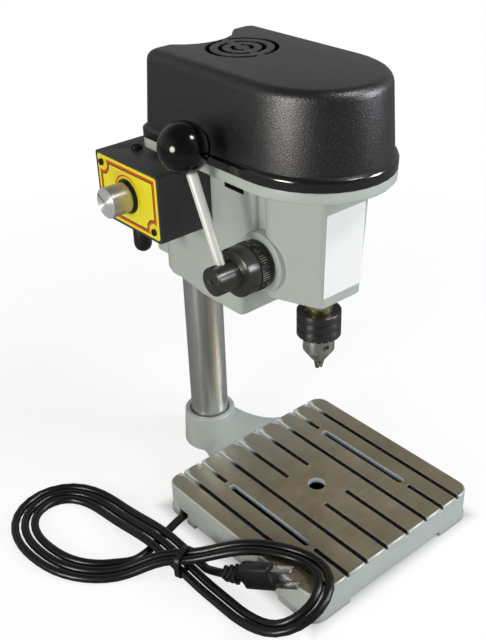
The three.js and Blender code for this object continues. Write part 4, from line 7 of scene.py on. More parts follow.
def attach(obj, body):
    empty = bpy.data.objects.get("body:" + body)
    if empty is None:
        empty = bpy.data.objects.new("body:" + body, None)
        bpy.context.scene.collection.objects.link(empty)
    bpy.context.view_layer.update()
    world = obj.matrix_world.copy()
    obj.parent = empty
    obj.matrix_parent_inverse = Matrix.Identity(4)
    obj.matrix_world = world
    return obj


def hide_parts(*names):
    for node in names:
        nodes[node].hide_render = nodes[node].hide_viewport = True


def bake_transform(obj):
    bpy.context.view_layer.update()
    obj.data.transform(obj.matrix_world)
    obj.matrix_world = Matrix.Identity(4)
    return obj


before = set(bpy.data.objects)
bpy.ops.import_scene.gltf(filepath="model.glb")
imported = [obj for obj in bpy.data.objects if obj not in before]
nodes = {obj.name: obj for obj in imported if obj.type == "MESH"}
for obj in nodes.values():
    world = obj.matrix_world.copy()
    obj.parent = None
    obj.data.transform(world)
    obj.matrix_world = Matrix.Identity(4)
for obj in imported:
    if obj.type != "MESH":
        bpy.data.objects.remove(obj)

bpy.ops.object.select_all(action="DESELECT")
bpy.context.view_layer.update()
mm = 0.001


# Photo studio. A pale floor without an end, two round soft lamps at the machine's own
# height, a third high in front, and the camera where it stood for the photograph.

camera_place = Vector((-381.94, -512.16, 494.84)) * mm
camera_yaw, camera_pitch, camera_roll = radians(-39.84), radians(31.58), radians(-1.81)
film_size, picture_height, focal_pixels = 36, 640, 946.14
shift_right, shift_up = -6.46, 9.69
machine_middle = Vector((0, -80, 200)) * mm
sky_light, sky_low_gloss, sky_high_gloss = 0.38, 0.4, 0.12
behind_camera, behind_share = (-0.64, -0.77, 0), 0.3

camera_back = Vector((
    sin(camera_yaw) * cos(camera_pitch), -cos(camera_yaw) * cos(camera_pitch), sin(camera_pitch)
))
camera_level = Vector((cos(camera_yaw), sin(camera_yaw), 0))
camera_up = camera_back.cross(camera_level)
camera_right = camera_level * cos(camera_roll) + camera_up * sin(camera_roll)
camera_up = camera_back.cross(camera_right)
lens = bpy.data.cameras.new("camera")
lens.sensor_width = film_size
lens.lens = film_size * focal_pixels / picture_height
lens.shift_x = shift_right / picture_height
lens.shift_y = shift_up / picture_height
lens.clip_start, lens.clip_end = 0.01, 20
camera = bpy.data.objects.new("camera", lens)
bpy.context.scene.collection.objects.link(camera)
turn = Matrix((camera_right, camera_up, camera_back)).transposed().to_4x4()
camera.matrix_world = Matrix.Translation(camera_place) @ turn
bpy.context.scene.camera = camera
bpy.context.scene.view_settings.view_transform = "Standard"


def linear(colour):
    """The linear values of a colour written as six hexadecimal digits."""
    parts = [int(colour[i:i + 2], 16) / 255 for i in (0, 2, 4)]
    return [p / 12.92 if p <= 0.04045 else ((p + 0.055) / 1.055) ** 2.4 for p in parts] + [1]


def soft_lamp(name, bearing, rise, reach, size, power, warmth="ffffff"):
    """A round soft lamp facing the machine: bearing from the front to the right, and rise, in degrees."""
    light = bpy.data.lights.new(name, "AREA")
    light.shape = "DISK"
    light.size = size
    light.energy = power
    light.color = linear(warmth)[:3]
    lamp = bpy.data.objects.new(name, light)
    bpy.context.scene.collection.objects.link(lamp)
    side, up = radians(bearing), radians(rise)
    away = Vector((sin(side) * cos(up), -cos(side) * cos(up), sin(up)))
    lamp.location = machine_middle + away * reach
    lamp.rotation_euler = away.to_track_quat("Z", "Y").to_euler()


soft_lamp("lamp_left", -86, 12, 1.2, 0.42, 8.6, "fffaf2")
soft_lamp("lamp_right", 40, 20, 1.3, 0.46, 10.5, "f6f9ff")
soft_lamp("lamp_above", 22, 53, 1.4, 0.32, 6.5)


def new_node(tree, kind, inputs=None, **settings):
    """A shader node with its inputs set to values or linked to sockets."""
    node = tree.nodes.new(kind)
    for name, value in settings.items():
        setattr(node, name, value)
    for name, value in (inputs or {}).items():
        if isinstance(value, bpy.types.NodeSocket):
            tree.links.new(value, node.inputs[name])
        else:
            node.inputs[name].default_value = value
    return node


def sum_of(tree, operation, *terms):
    """What a sum on numbers gives."""
    return new_node(tree, "ShaderNodeMath", dict(enumerate(terms)), operation=operation).outputs[0]


def place_sum(tree, operation, *terms):
    """What a sum on places gives: a place, or a number for a length or a dot product."""
    node = new_node(tree, "ShaderNodeVectorMath", dict(enumerate(terms)), operation=operation)
    return node.outputs["Value" if operation in ("LENGTH", "DOT_PRODUCT") else "Vector"]


def graded(tree, value, start, end, first=0.0, last=1.0):
    """A number that goes from first to last while a value goes from start to end."""
    return new_node(tree, "ShaderNodeMapRange", {
        "Value": value, "From Min": start, "From Max": end, "To Min": first, "To Max": last}).outputs[0]


def blended(tree, share, first, second, **settings):
    """A colour that goes from first to second with a share."""
    return new_node(
        tree, "ShaderNodeMix", {0: share, 6: first, 7: second}, data_type="RGBA", **settings).outputs[2]


def sides_of(tree, place):
    """The three numbers of a place, by name."""
    return new_node(tree, "ShaderNodeSeparateXYZ", {0: place}).outputs


world = bpy.data.worlds.new("studio")
bpy.context.scene.world = world
world.use_nodes = True
sky = world.node_tree
sky.nodes.clear()


def sky_glow(colour, strength):
    return new_node(sky, "ShaderNodeBackground", {"Color": linear(colour), "Strength": strength}).outputs[0]


ray = new_node(sky, "ShaderNodeLightPath").outputs
towards = new_node(sky, "ShaderNodeTexCoord").outputs["Generated"]
seen = sum_of(sky, "MAXIMUM", ray["Is Camera Ray"], ray["Is Transmission Ray"])
plain_sky = new_node(sky, "ShaderNodeMixShader", {
    0: seen, 1: sky_glow("ffffff", sky_light), 2: sky_glow("ffffff", 1.0)})
ceiling = graded(sky, sides_of(sky, towards)["Z"], 0.45, 0.8, sky_low_gloss, sky_high_gloss)
# The end of the room behind the camera is dark, which is what smooth black pieces show.
facing = place_sum(sky, "DOT_PRODUCT", towards, behind_camera)
room = sum_of(sky, "MULTIPLY", ceiling, graded(sky, facing, 0.35, 0.8, 1.0, behind_share))
whole_sky = new_node(sky, "ShaderNodeMixShader", {
    0: ray["Is Glossy Ray"], 1: plain_sky.outputs[0], 2: sky_glow("f4f4f2", room)})
new_node(sky, "ShaderNodeOutputWorld", {"Surface": whole_sky.outputs[0]})


def new_material(name):
    material = bpy.data.materials.new(name)
    material.use_nodes = True
    return material


def opened(material):
    """A material's node tree, its shader, and where a point lies on the piece."""
    tree = material.node_tree
    place = new_node(tree, "ShaderNodeTexCoord").outputs["Object"]
    return tree, tree.nodes["Principled BSDF"], place


# The floor's paper glows white to the camera, is dull in reflections, and has a painted shadow, near black,
# under the base.
floor_size, floor_drop = 9, 0.2 * mm
table_middle = -127 * mm
painted_shadow_half, painted_shadow_edge = 70 * mm, 90 * mm
near_reach, far_reach, near_glow = 0.2, 0.6, 0.8
gloss_share, gloss_glow = 0.92, 0.16

bpy.ops.mesh.primitive_plane_add(size=floor_size, location=(0, 0, -floor_drop))
floor_sheet = bpy.context.object
floor_sheet.name = "floor_sheet"
paper = new_material("white_paper")
tree, matt, place = opened(paper)
ray = new_node(tree, "ShaderNodeLightPath").outputs
clear = graded(tree, place_sum(tree, "LENGTH", place), near_reach, far_reach, near_glow, 1.0)
from_middle = place_sum(tree, "ABSOLUTE", place_sum(tree, "ADD", place, (0, -table_middle, 0)))
beside = sides_of(tree, from_middle)
outside = graded(tree, sum_of(tree, "MAXIMUM", beside["X"], beside["Y"]), painted_shadow_half, painted_shadow_edge)
# Painted shadow: the paper's colour goes near black under the base.
tree.links.new(blended(tree, outside, linear("101010"), linear("f7f7f7")), matt.inputs["Base Color"])
matt.inputs["Roughness"].default_value = 0.9
white_share = sum_of(tree, "MULTIPLY", sum_of(tree, "MULTIPLY", clear, outside), ray["Is Camera Ray"])
dull_share = sum_of(tree, "MULTIPLY", ray["Is Glossy Ray"], gloss_share)
surface = matt.outputs[0]
for share, strength in ((white_share, 1.0), (dull_share, gloss_glow)):
    glow = new_node(tree, "ShaderNodeEmission", {"Color": linear("ffffff"), "Strength": strength})
    surface = new_node(tree, "ShaderNodeMixShader", {0: share, 1: surface, 2: glow.outputs[0]}).outputs[0]
tree.links.new(surface, tree.nodes["Material Output"].inputs["Surface"])
floor_sheet.data.materials.append(paper)


# Table and base. One grey iron casting on four feet, painted, with its table milled
# bare and grooved. The neck at its rear carries the boss that the column stands in.

table_top, groove_low, groove_high = 26 * mm, 22.7 * mm, 25.6 * mm
table_front, table_rear = -207 * mm, -47 * mm
groove_offsets, groove_half = (10.5 * mm, 30.4 * mm, 48.4 * mm, 65.2 * mm), 1.9 * mm
slot_offset, slot_half_width, slot_half_length = 48.4 * mm, 3.2 * mm, 42.6 * mm
hole_radius, shade_floor, shade_top = 7 * mm, 21.2 * mm, 22.4 * mm
# Where the grooves' grime and painted shade fade out towards their ends.
grime_shade_rear, clean_lit_rear = -68 * mm, -60 * mm
clean_lit_front, grime_shade_front = -207.2 * mm, -204.5 * mm
level, steep, near = 0.995, 0.5, 0.05 * mm


def shared_group(name, inputs, outputs):
    """An empty node group with named sockets, as (kind, name, value)."""
    group = bpy.data.node_groups.new(name, "ShaderNodeTree")
    for kind, label, value in inputs:
        socket = group.interface.new_socket(label, in_out="INPUT", socket_type="NodeSocket" + kind)
        socket.default_value = value
    for kind, label in outputs:
        group.interface.new_socket(label, in_out="OUTPUT", socket_type="NodeSocket" + kind)
    entry = group.nodes.new("NodeGroupInput")
    leave = group.nodes.new("NodeGroupOutput")
    return group, entry.outputs, leave.inputs


def noise(tree, place, scale, detail=2.0, roughness=0.5):
    """Random cloud from 0 to 1, finer with scale."""
    return new_node(tree, "ShaderNodeTexNoise", {
        "Vector": place, "Scale": scale, "Detail": detail, "Roughness": roughness}).outputs["Fac"]


def relief(tree, height, strength, distance):
    """A normal that follows a height in relief."""
    return new_node(tree, "ShaderNodeBump", {
        "Height": height, "Strength": strength, "Distance": distance}).outputs[0]


# Uneven finish: patches a few centimetres wide in tone and gloss, and a fine skin in relief.
uneven, entry, leave = shared_group("uneven_finish", [
    ("Color", "Colour", (0.5, 0.5, 0.5, 1)), ("Color", "Second Colour", (0.4, 0.4, 0.4, 1)),
    ("Float", "Roughness", 0.5), ("Float", "Roughness Spread", 0.1),
    ("Float", "Patch Scale", 40.0), ("Float", "Skin Scale", 900.0), ("Float", "Skin Height", 0.05),
], [("Color", "Colour"), ("Float", "Roughness"), ("Vector", "Normal")])
place = new_node(uneven, "ShaderNodeTexCoord").outputs["Object"]
patches = noise(uneven, place, entry["Patch Scale"], 4.0, 0.6)
toned = blended(uneven, patches, entry["Colour"], entry["Second Colour"])
centred = sum_of(uneven, "SUBTRACT", patches, 0.5)
spread = sum_of(uneven, "MULTIPLY_ADD", centred, entry["Roughness Spread"], entry["Roughness"])
skin = relief(uneven, noise(uneven, place, entry["Skin Scale"]), entry["Skin Height"], 0.4 * mm)
for given, label in ((toned, "Colour"), (spread, "Roughness"), (skin, "Normal")):
    uneven.links.new(given, leave[label])

# Worn edges: a mask that shows where a rounded normal leaves the true one, broken up by noise.
worn, entry, leave = shared_group("worn_edges", [
    ("Float", "Width", 0.0008), ("Float", "Amount", 1.0)], [("Float", "Mask")])
rounded = new_node(worn, "ShaderNodeBevel", {"Radius": entry["Width"]}, samples=4).outputs[0]
true_normal = new_node(worn, "ShaderNodeNewGeometry").outputs["Normal"]
leaving = graded(worn, place_sum(worn, "DOT_PRODUCT", rounded, true_normal), 0.985, 0.86)
place = new_node(worn, "ShaderNodeTexCoord").outputs["Object"]
chips = graded(worn, noise(worn, place, 160.0, 5.0), 0.42, 0.62)
chipped = sum_of(worn, "MULTIPLY", leaving, chips)
worn.links.new(sum_of(worn, "MULTIPLY", chipped, entry["Amount"]), leave["Mask"])


def finish(name, colour, roughness, metallic, second=None, spread=0.1, patch=40.0, skin=900.0,
           height=0.05, wear=0.0, wear_colour="d8d4cc", wear_width=0.8 * mm, wear_metallic=1.0):
    """A material with an uneven finish and, where wear is above zero, worn edges."""
    material = new_material(name)
    tree = material.node_tree
    shader = tree.nodes["Principled BSDF"]
    base = new_node(tree, "ShaderNodeGroup", node_tree=uneven)
    for label, value in (
            ("Colour", linear(colour)), ("Second Colour", linear(second or colour)),
            ("Roughness", roughness), ("Roughness Spread", spread), ("Patch Scale", patch),
            ("Skin Scale", skin), ("Skin Height", height)):
        base.inputs[label].default_value = value
    shader.inputs["Metallic"].default_value = metallic
    tree.links.new(base.outputs["Normal"], shader.inputs["Normal"])
    tree.links.new(base.outputs["Roughness"], shader.inputs["Roughness"])
    tree.links.new(base.outputs["Colour"], shader.inputs["Base Color"])
    if wear:
        edges = new_node(tree, "ShaderNodeGroup", node_tree=worn)
        edges.inputs["Width"].default_value = wear_width
        edges.inputs["Amount"].default_value = wear
        mask = edges.outputs["Mask"]
        mixed = blended(tree, mask, base.outputs["Colour"], linear(wear_colour))
        tree.links.new(mixed, shader.inputs["Base Color"])
        bare = graded(tree, mask, 0.0, 1.0, metallic, wear_metallic)
        tree.links.new(bare, shader.inputs["Metallic"])
    return material


casting_paint = finish(
    "casting_paint", "a8afaa", 0.4, 0.0, second="9ca39e", spread=0.12, patch=25, skin=420,
    height=0.1, wear=0.35, wear_colour="c4c8c3", wear_width=0.6 * mm, wear_metallic=0.0)
casting_paint.node_tree.nodes["Principled BSDF"].inputs["Coat Weight"].default_value = 0.25
casting_paint.node_tree.nodes["Principled BSDF"].inputs["Coat Roughness"].default_value = 0.2


def drawn_out(tree, place, scales):
    """A place drawn out for a noise of scale one, with its own scale along each axis."""
    return new_node(tree, "ShaderNodeMapping", {"Vector": place, "Scale": scales}).outputs[0]


def two_tones(tree, value, *stops):
    """A colour that follows a value from one (value, colour) stop to the next."""
    ramp = new_node(tree, "ShaderNodeValToRGB", {"Fac": value})
    for element, (position, colour) in zip(ramp.color_ramp.elements, stops):
        element.position = position
        element.color = linear(colour)
    return ramp.outputs["Color"]


# Milled face: cutter lines across the table, a painted reflection that turns it paler and bluer towards the
# rear, and paint that runs out on it in ragged flares where the grooves end at the rear.
flare_start, flare_narrow, flare_wide, flare_ragged = -64 * mm, -2 * mm, 6 * mm, 1.2 * mm
reflection_start, reflection_end = -110 * mm, -50 * mm

milled_iron = new_material("milled_iron")
tree, shader, place = opened(milled_iron)
side = sides_of(tree, place)
cutter = noise(tree, drawn_out(tree, place, (18.0, 2600.0, 1.0)), 1.0, 3.0)
stains = noise(tree, place, 22.0, 6.0, 0.62)
tones = two_tones(tree, stains, (0.3, "80765f"), (0.72, "ab9f87"))
fine = blended(tree, 0.35, tones, cutter, blend_type="OVERLAY")
from_mid_line = sum_of(tree, "ABSOLUTE", side["X"])
from_groove = None
for offset in groove_offsets:
    gap = sum_of(tree, "ABSOLUTE", sum_of(tree, "SUBTRACT", from_mid_line, offset))
    from_groove = gap if from_groove is None else sum_of(tree, "MINIMUM", from_groove, gap)
flare = graded(tree, side["Y"], flare_start, table_rear, flare_narrow, flare_wide)
ragged = sum_of(tree, "MULTIPLY_ADD", noise(tree, place, 420.0, 4.0), 2 * flare_ragged, -flare_ragged)
margin = sum_of(tree, "SUBTRACT", sum_of(tree, "ADD", flare, ragged), from_groove)
flared = graded(tree, margin, -0.3 * mm, 0.5 * mm, 0.0, 0.85)
# Painted reflection: the face is blended towards a pale blue grey towards the rear.
rear = graded(tree, side["Y"], reflection_start, reflection_end, 0.0, 0.4)
with_reflection = blended(tree, rear, fine, linear("aab0aa"))
tree.links.new(blended(tree, flared, with_reflection, linear("b4bcb8")), shader.inputs["Base Color"])
tree.links.new(graded(tree, flared, 0.0, 1.0, 0.72, 0.0), shader.inputs["Metallic"])
tree.links.new(graded(tree, stains, 0.3, 0.7, 0.5, 0.38), shader.inputs["Roughness"])
tree.links.new(relief(tree, cutter, 0.25, 0.2 * mm), shader.inputs["Normal"])


def paint_over(tree, shader, mask, colour):
    """Lays a colour over what a shader has, where a mask is one."""
    under = shader.inputs["Base Color"].links[0].from_socket
    over = linear(colour) if isinstance(colour, str) else colour
    tree.links.new(blended(tree, mask, under, over), shader.inputs["Base Color"])


# In the grooves: oil and dust with painted shade, near black, over the paint, with bare flecks, clean where
# the grooves end.
# The grooves' paint is lighter than the casting's: a painted highlight against their own shade.
groove_grime_and_shade = finish("groove_grime_and_shade", "ccd3cf", 0.5, 0.0, second="d8deda", spread=0.12, patch=25,
                      skin=420, height=0.1)
tree, shader, place = opened(groove_grime_and_shade)
along = sides_of(tree, place)["Y"]
rear_end = graded(tree, along, grime_shade_rear, clean_lit_rear, 1.0, 0.0)
front_end = graded(tree, along, clean_lit_front, grime_shade_front)
grime_and_shade = two_tones(tree, noise(tree, place, 1300.0, 2.0, 0.7), (0.6, "1b1b18"), (0.72, "b9bbb2"))
paint_over(tree, shader, sum_of(tree, "MULTIPLY", rear_end, front_end), grime_and_shade)

# Through holes: painted walls with painted shade, near black, from a few millimetres down.
hole_wall = finish("hole_wall", "a9b3ba", 0.45, 0.0, second="98a2a8", spread=0.1, patch=40,
                   skin=420, height=0.1)
tree, shader, place = opened(hole_wall)
depth = sides_of(tree, place)["Z"]
paint_over(tree, shader, graded(tree, depth, shade_floor, shade_top, 1.0, 0.0), "050505")
low_gloss = graded(tree, depth, shade_floor, shade_top, 0.0, 0.5)
tree.links.new(low_gloss, shader.inputs["Specular IOR Level"])


def take(piece):
    """Selects one piece alone and makes it the active one."""
    bpy.ops.object.select_all(action="DESELECT")
    piece.select_set(True)
    bpy.context.view_layer.objects.active = piece


def break_edges(piece, width, segments=2, **limits):
    """Rounds the edges of the active piece."""
    edge = piece.modifiers.new("edge", "BEVEL")
    edge.width = width
    edge.segments = segments
    for name, value in limits.items():
        setattr(edge, name, value)
    bpy.ops.object.modifier_apply(modifier="edge")


def merged_copy(node, name, bevel=0.0, smooth=32):
    """A copy of a CAD piece with its corners joined, its flats made whole and its edges broken."""
    piece = nodes[node].copy()
    piece.data = nodes[node].data.copy()
    piece.name = piece.data.name = name
    piece.parent = None
    for key in list(piece.keys()):
        del piece[key]
    bpy.context.scene.collection.objects.link(piece)
    piece.data.materials.clear()
    take(piece)
    bpy.ops.object.mode_set(mode="EDIT")
    bpy.ops.mesh.select_all(action="SELECT")
    bpy.ops.mesh.customdata_custom_splitnormals_clear()
    bpy.ops.mesh.remove_doubles(threshold=0.02 * mm)
    bpy.ops.mesh.dissolve_limited(angle_limit=radians(0.6))
    bpy.ops.object.mode_set(mode="OBJECT")
    if bevel:
        break_edges(piece, bevel, limit_method="ANGLE", angle_limit=radians(smooth),
                    miter_outer="MITER_ARC", use_clamp_overlap=True)
    bpy.ops.object.shade_smooth_by_angle(angle=radians(smooth))
    return piece


def fit(piece, body, slot, *stands_for, material=None):
    """Gives a finished piece its material and its CAD body, and hides the CAD nodes it stands for; slot is
    not used.
    """
    if material is not None:
        piece.data.materials.clear()
        piece.data.materials.append(material)
    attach(piece, body)
    if stands_for:
        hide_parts(*stands_for)
    bpy.ops.object.select_all(action="DESELECT")
    return piece


base = merged_copy("base_casting", "base_finished", bevel=0.5 * mm)
for material in (casting_paint, milled_iron, groove_grime_and_shade, hole_wall):
    base.data.materials.append(material)
milled_face, groove_face, hole_face = 1, 2, 3
for face in base.data.polygons:
    x, y, z = abs(face.center.x), face.center.y, face.center.z
    in_groove = min(abs(x - offset) for offset in groove_offsets) < groove_half
    if face.normal.z > level and abs(z - table_top) < near:
        face.material_index = milled_face
    elif in_groove and groove_low < z < groove_high and table_front < y < table_rear:
        face.material_index = groove_face
    in_slot = abs(x - slot_offset) < slot_half_width and abs(y - table_middle) < slot_half_length
    in_hole = (x ** 2 + (y - table_middle) ** 2) ** 0.5 < hole_radius
    if (in_slot or in_hole) and face.normal.z < steep:
        face.material_index = hole_face
fit(base, "base", "casting", "base_casting")


# Set screw. A blackened steel screw in the rear of the base's boss, turned in with a hex
# key until its point holds the column.

blackened = finish(
    "blackened_steel", "3c3e40", 0.36, 0.85, second="303133", spread=0.14, patch=70, skin=1600,
    height=0.08, wear=0.8, wear_colour="8d8a86", wear_width=0.4 * mm)
fit(merged_copy("column_set_screw", "set_screw_finished", bevel=0.2 * mm), "base", "dark_steel",
    "column_set_screw", material=blackened)


# Column. A ground and polished steel tube, its ends broken with a file. It stands in the
# base's boss, carries the head and is open at its top.

column_radius, column_wall = 15 * mm, 3 * mm
column_foot, column_head = 4.3 * mm, 302 * mm
foot_chamfer, head_chamfer, bore_chamfer = 0.6 * mm, 0.8 * mm, 0.4 * mm


def brushed(material, along=(0, 0, 1), amount=0.75):
    """Draws a metal's highlights out along one direction, as turning and grinding do."""
    tree = material.node_tree
    shader = tree.nodes["Principled BSDF"]
    shader.inputs["Anisotropic"].default_value = amount
    drawn = new_node(tree, "ShaderNodeCombineXYZ", dict(enumerate(along)))
    tree.links.new(drawn.outputs[0], shader.inputs["Tangent"])
    return material


ground_steel = new_material("ground_steel")
tree, shader, place = opened(ground_steel)
grinding = noise(tree, drawn_out(tree, place, (9.0, 9.0, 3800.0)), 1.0)
streaks = noise(tree, drawn_out(tree, place, (90.0, 90.0, 9.0)), 1.0, 4.0)
tones = two_tones(tree, streaks, (0.3, "d8d8d2"), (0.7, "f4f4f0"))
tree.links.new(tones, shader.inputs["Base Color"])
tree.links.new(graded(tree, streaks, 0.3, 0.7, 0.23, 0.28), shader.inputs["Roughness"])
tree.links.new(relief(tree, grinding, 0.006, 0.1 * mm), shader.inputs["Normal"])
shader.inputs["Metallic"].default_value = 1.0
brushed(ground_steel)


def turned(name, profile, steps=64, smooth=35, closed=True):
    """A turned piece on the Z axis from (radius, height) points in metres, outside first."""
    mesh = bpy.data.meshes.new(name)
    points = [(radius, 0, height) for radius, height in profile]
    edges = [(i, i + 1) for i in range(len(points) - 1)]
    if closed:
        edges.append((len(points) - 1, 0))
    mesh.from_pydata(points, edges, [])
    piece = bpy.data.objects.new(name, mesh)
    bpy.context.scene.collection.objects.link(piece)
    take(piece)
    bpy.ops.object.mode_set(mode="EDIT")
    bpy.ops.mesh.select_all(action="SELECT")
    bpy.ops.mesh.spin(steps=steps, angle=2 * pi, center=(0, 0, 0), axis=(0, 0, 1))
    bpy.ops.mesh.select_all(action="SELECT")
    bpy.ops.mesh.remove_doubles(threshold=0.005 * mm)
    bpy.ops.mesh.delete_loose()
    bpy.ops.mesh.select_all(action="SELECT")
    bpy.ops.mesh.normals_make_consistent(inside=False)
    bpy.ops.object.mode_set(mode="OBJECT")
    bpy.ops.object.shade_smooth_by_angle(angle=radians(smooth))
    return piece


inner = column_radius - column_wall
column = turned("column_finished", [
    (column_radius - foot_chamfer, column_foot), (column_radius, column_foot + foot_chamfer),
    (column_radius, column_head - head_chamfer), (column_radius - head_chamfer, column_head),
    (inner + bore_chamfer, column_head), (inner, column_head - bore_chamfer), (inner, column_foot),
], steps=96)
fit(column, "column", "polished_steel", "column_tube", material=ground_steel)


# Head casting. One light-alloy casting, painted as the base is: the clamp round the
# column, the body that holds the motor, the quill housing in front and the wide rim.

side_slot_box = ((-44, -20), (-86.8, -67.2), (254.2, 262.4))

head = merged_copy("head_casting", "head_finished", bevel=0.6 * mm)
fit(head, "head", "casting", "head_casting", material=casting_paint)
head.data.materials.append(finish("deep_shade", "060606", 0.8, 0.0))
for face in head.data.polygons:
    in_side_slot = all(
        low < value < high for value, (low, high) in zip(face.center / mm, side_slot_box))
    if in_side_slot and abs(face.normal.x) < steep:
        face.material_index = 1


# Clamp screw. A blackened steel screw with a socket head, which pulls the two lugs of the
# head's split clamp together round the column.


def finished(node, body, slot, material, bevel=0.0):
    """A CAD piece with its edges broken and its finish on, in the place of its node."""
    return fit(merged_copy(node, node + "_finished", bevel=bevel), body, slot, node, material=material)


finished("clamp_screw", "head", "dark_steel", blackened, bevel=0.3 * mm)


# Label. A thin white film with rounded corners, stuck flat on the sloping front of the
# quill housing.

label_width, label_height, label_thickness, label_corner = 33.2 * mm, 58 * mm, 0.25 * mm, 1.6 * mm
label_middle = Vector((0, -148.44, 228)) * mm
housing_lean = atan2(3, 74)


def lay(piece, place, axis=(0, 0, 1), about=(1, 0, 0)):
    """Puts a piece modelled on the Z axis at its place, its Z along axis and its X near about."""
    z = Vector(axis).normalized()
    y = z.cross(Vector(about)).normalized()
    x = y.cross(z)
    rows = Matrix((x, y, z)).transposed().to_4x4()
    piece.data.transform(Matrix.Translation(Vector(place)) @ rows)
    return piece


bpy.ops.mesh.primitive_plane_add(size=1, location=(0, 0, 0))
label = bpy.context.object
label.name = "blank_label"
label.data.transform(Matrix.Diagonal((label_width, label_height, 1, 1)))
bpy.ops.object.mode_set(mode="EDIT")
bpy.ops.mesh.select_all(action="SELECT")
bpy.ops.mesh.bevel(offset=label_corner, segments=4, affect="VERTICES")
bpy.ops.mesh.extrude_region_move(TRANSFORM_OT_translate={"value": (0, 0, label_thickness)})
bpy.ops.object.mode_set(mode="OBJECT")
lay(label, label_middle, axis=(0, -cos(housing_lean), -sin(housing_lean)))
label_film = finish("label_film", "dedfde", 0.35, 0.0, second="dadbd9", spread=0.08, patch=90,
                    skin=300, height=0.03)
fit(label, "head", "casting", material=label_film)


# Motor. A small black commutator motor that hangs in the head from a zinc-plated steel
# plate, which four screws hold on the rim.

zinc_plate = finish(
    "zinc_plate", "b4b4ae", 0.34, 0.9, second="9fa09c", spread=0.2, patch=60, skin=1400, height=0.06,
    wear=0.5, wear_colour="dcdad4", wear_width=0.4 * mm)
finished("motor_can", "head", "dark_steel", blackened, bevel=0.15 * mm)
for node in ("motor_plate", "plate_screw_1", "plate_screw_2", "plate_screw_3", "plate_screw_4"):
    finished(node, "head", "bright_steel", zinc_plate, bevel=0.15 * mm)


# Belt drive. Two turned aluminium pulleys, one on the motor's steel shaft and one over the
# spindle in a ball bearing, and the rubber V-belt between them.

turned_alloy = finish(
    "turned_alloy", "bfc1c2", 0.3, 1.0, second="a9abad", spread=0.16, patch=45, skin=2200,
    height=0.08, wear=0.4, wear_colour="e6e6e4", wear_width=0.3 * mm)
bright_steel = finish(
    "bright_steel", "bcbab6", 0.24, 1.0, second="a19f9b", spread=0.18, patch=60, skin=1800,
    height=0.06, wear=0.4, wear_colour="e4e2dc", wear_width=0.25 * mm)
belt_rubber = finish("belt_rubber", "232323", 0.72, 0.0, second="2d2c2b", spread=0.15, patch=70,
                     skin=1300, height=0.25)
finished("spindle_pulley", "pulley", "aluminium", turned_alloy, bevel=0.25 * mm)
finished("motor_pulley", "motor_rotor", "aluminium", turned_alloy, bevel=0.25 * mm)
finished("motor_shaft", "motor_rotor", "bright_steel", bright_steel)
finished("pulley_bearing", "head", "bright_steel", bright_steel, bevel=0.2 * mm)
finished("drive_belt", "head", "belt", belt_rubber, bevel=0.3 * mm)


# Belt cover. Moulded in black plastic with a fine spark-eroded grain, a glossier lip
# round its foot and ring slots in its top. It stands on the rim and lifts straight off.

lip_edge, lip_margin, bead_width = 285.6 * mm, 0.1 * mm, 1.3 * mm
grain_start, grain_full = 286.2 * mm, 287.4 * mm
lip_roughness, grain_relief = 0.14, 0.55

cover_grain = finish(
    "cover_grain", "0b0b0d", 0.35, 0.0, second="09090b", spread=0.04, patch=30, skin=1250,
    height=0.55, wear=0.25, wear_colour="333333", wear_width=0.5 * mm, wear_metallic=0.0)
tree, shader, place = opened(cover_grain)
above_lip = graded(tree, sides_of(tree, place)["Z"], grain_start, grain_full)
grained = shader.inputs["Roughness"].links[0].from_socket
lip_gloss = new_node(tree, "ShaderNodeMix", {0: above_lip, 2: lip_roughness, 3: grained},
                     data_type="FLOAT")
tree.links.new(lip_gloss.outputs[0], shader.inputs["Roughness"])
tree.links.new(sum_of(tree, "MULTIPLY", above_lip, grain_relief), grained.node.inputs["Skin Height"])
shader.inputs["Specular IOR Level"].default_value = 0.95
# Pale flecks on the grain above the lip: painted glints.
glint_flecks = graded(tree, noise(tree, place, 1100.0, 2.0, 0.7), 0.56, 0.7)
paint_over(tree, shader, sum_of(tree, "MULTIPLY", glint_flecks, above_lip), "343436")

cover = merged_copy("belt_cover", "belt_cover_finished", smooth=34)
weights = cover.data.attributes.new("bevel_weight_edge", "FLOAT", "EDGE")
for edge in cover.data.edges:
    if all(abs(cover.data.vertices[v].co.z - lip_edge) < lip_margin for v in edge.vertices):
        weights.data[edge.index].value = 1.0
take(cover)
break_edges(cover, bead_width, segments=5, limit_method="WEIGHT")
bpy.ops.object.shade_smooth_by_angle(angle=radians(40))
fit(cover, "cover", "cover_plastic", "belt_cover", material=cover_grain)


# Quill. A ground steel sleeve with two bearings pressed in, the rack cut in its rear and a
# keyway in its side, where a blackened screw keeps it from turning.

round_steel = brushed(finish(
    "round_steel", "d4d4cf", 0.27, 1.0, second="bdbdb8", spread=0.12, patch=60, skin=1800,
    height=0.02, wear=0.4, wear_colour="e8e5de", wear_width=0.25 * mm))
for node in ("quill_sleeve", "quill_bearing_lower", "quill_bearing_upper"):
    finished(node, "quill", "bright_steel", round_steel, bevel=0.1 * mm)
finished("quill_key_screw", "head", "dark_steel", blackened, bevel=0.2 * mm)


# Spindle and its nut. A bright steel shaft that runs in the quill's bearings, and the nut,
# plated yellow, that holds the chuck on it.

yellow_zinc = finish(
    "yellow_zinc", "e2d9ac", 0.28, 1.0, second="c4b885", spread=0.15, patch=120, skin=1500,
    height=0.06, wear=0.6, wear_colour="e0d2a4", wear_width=0.3 * mm)
finished("spindle_shaft", "spindle", "bright_steel", bright_steel, bevel=0.3 * mm)
finished("spindle_nut", "spindle", "gilt_steel", yellow_zinc, bevel=0.2 * mm)


# Chuck. A ground body with three key holes, a blackened sleeve whose lower edge carries
# the key's teeth, a ring nut inside it and three slanted jaws.

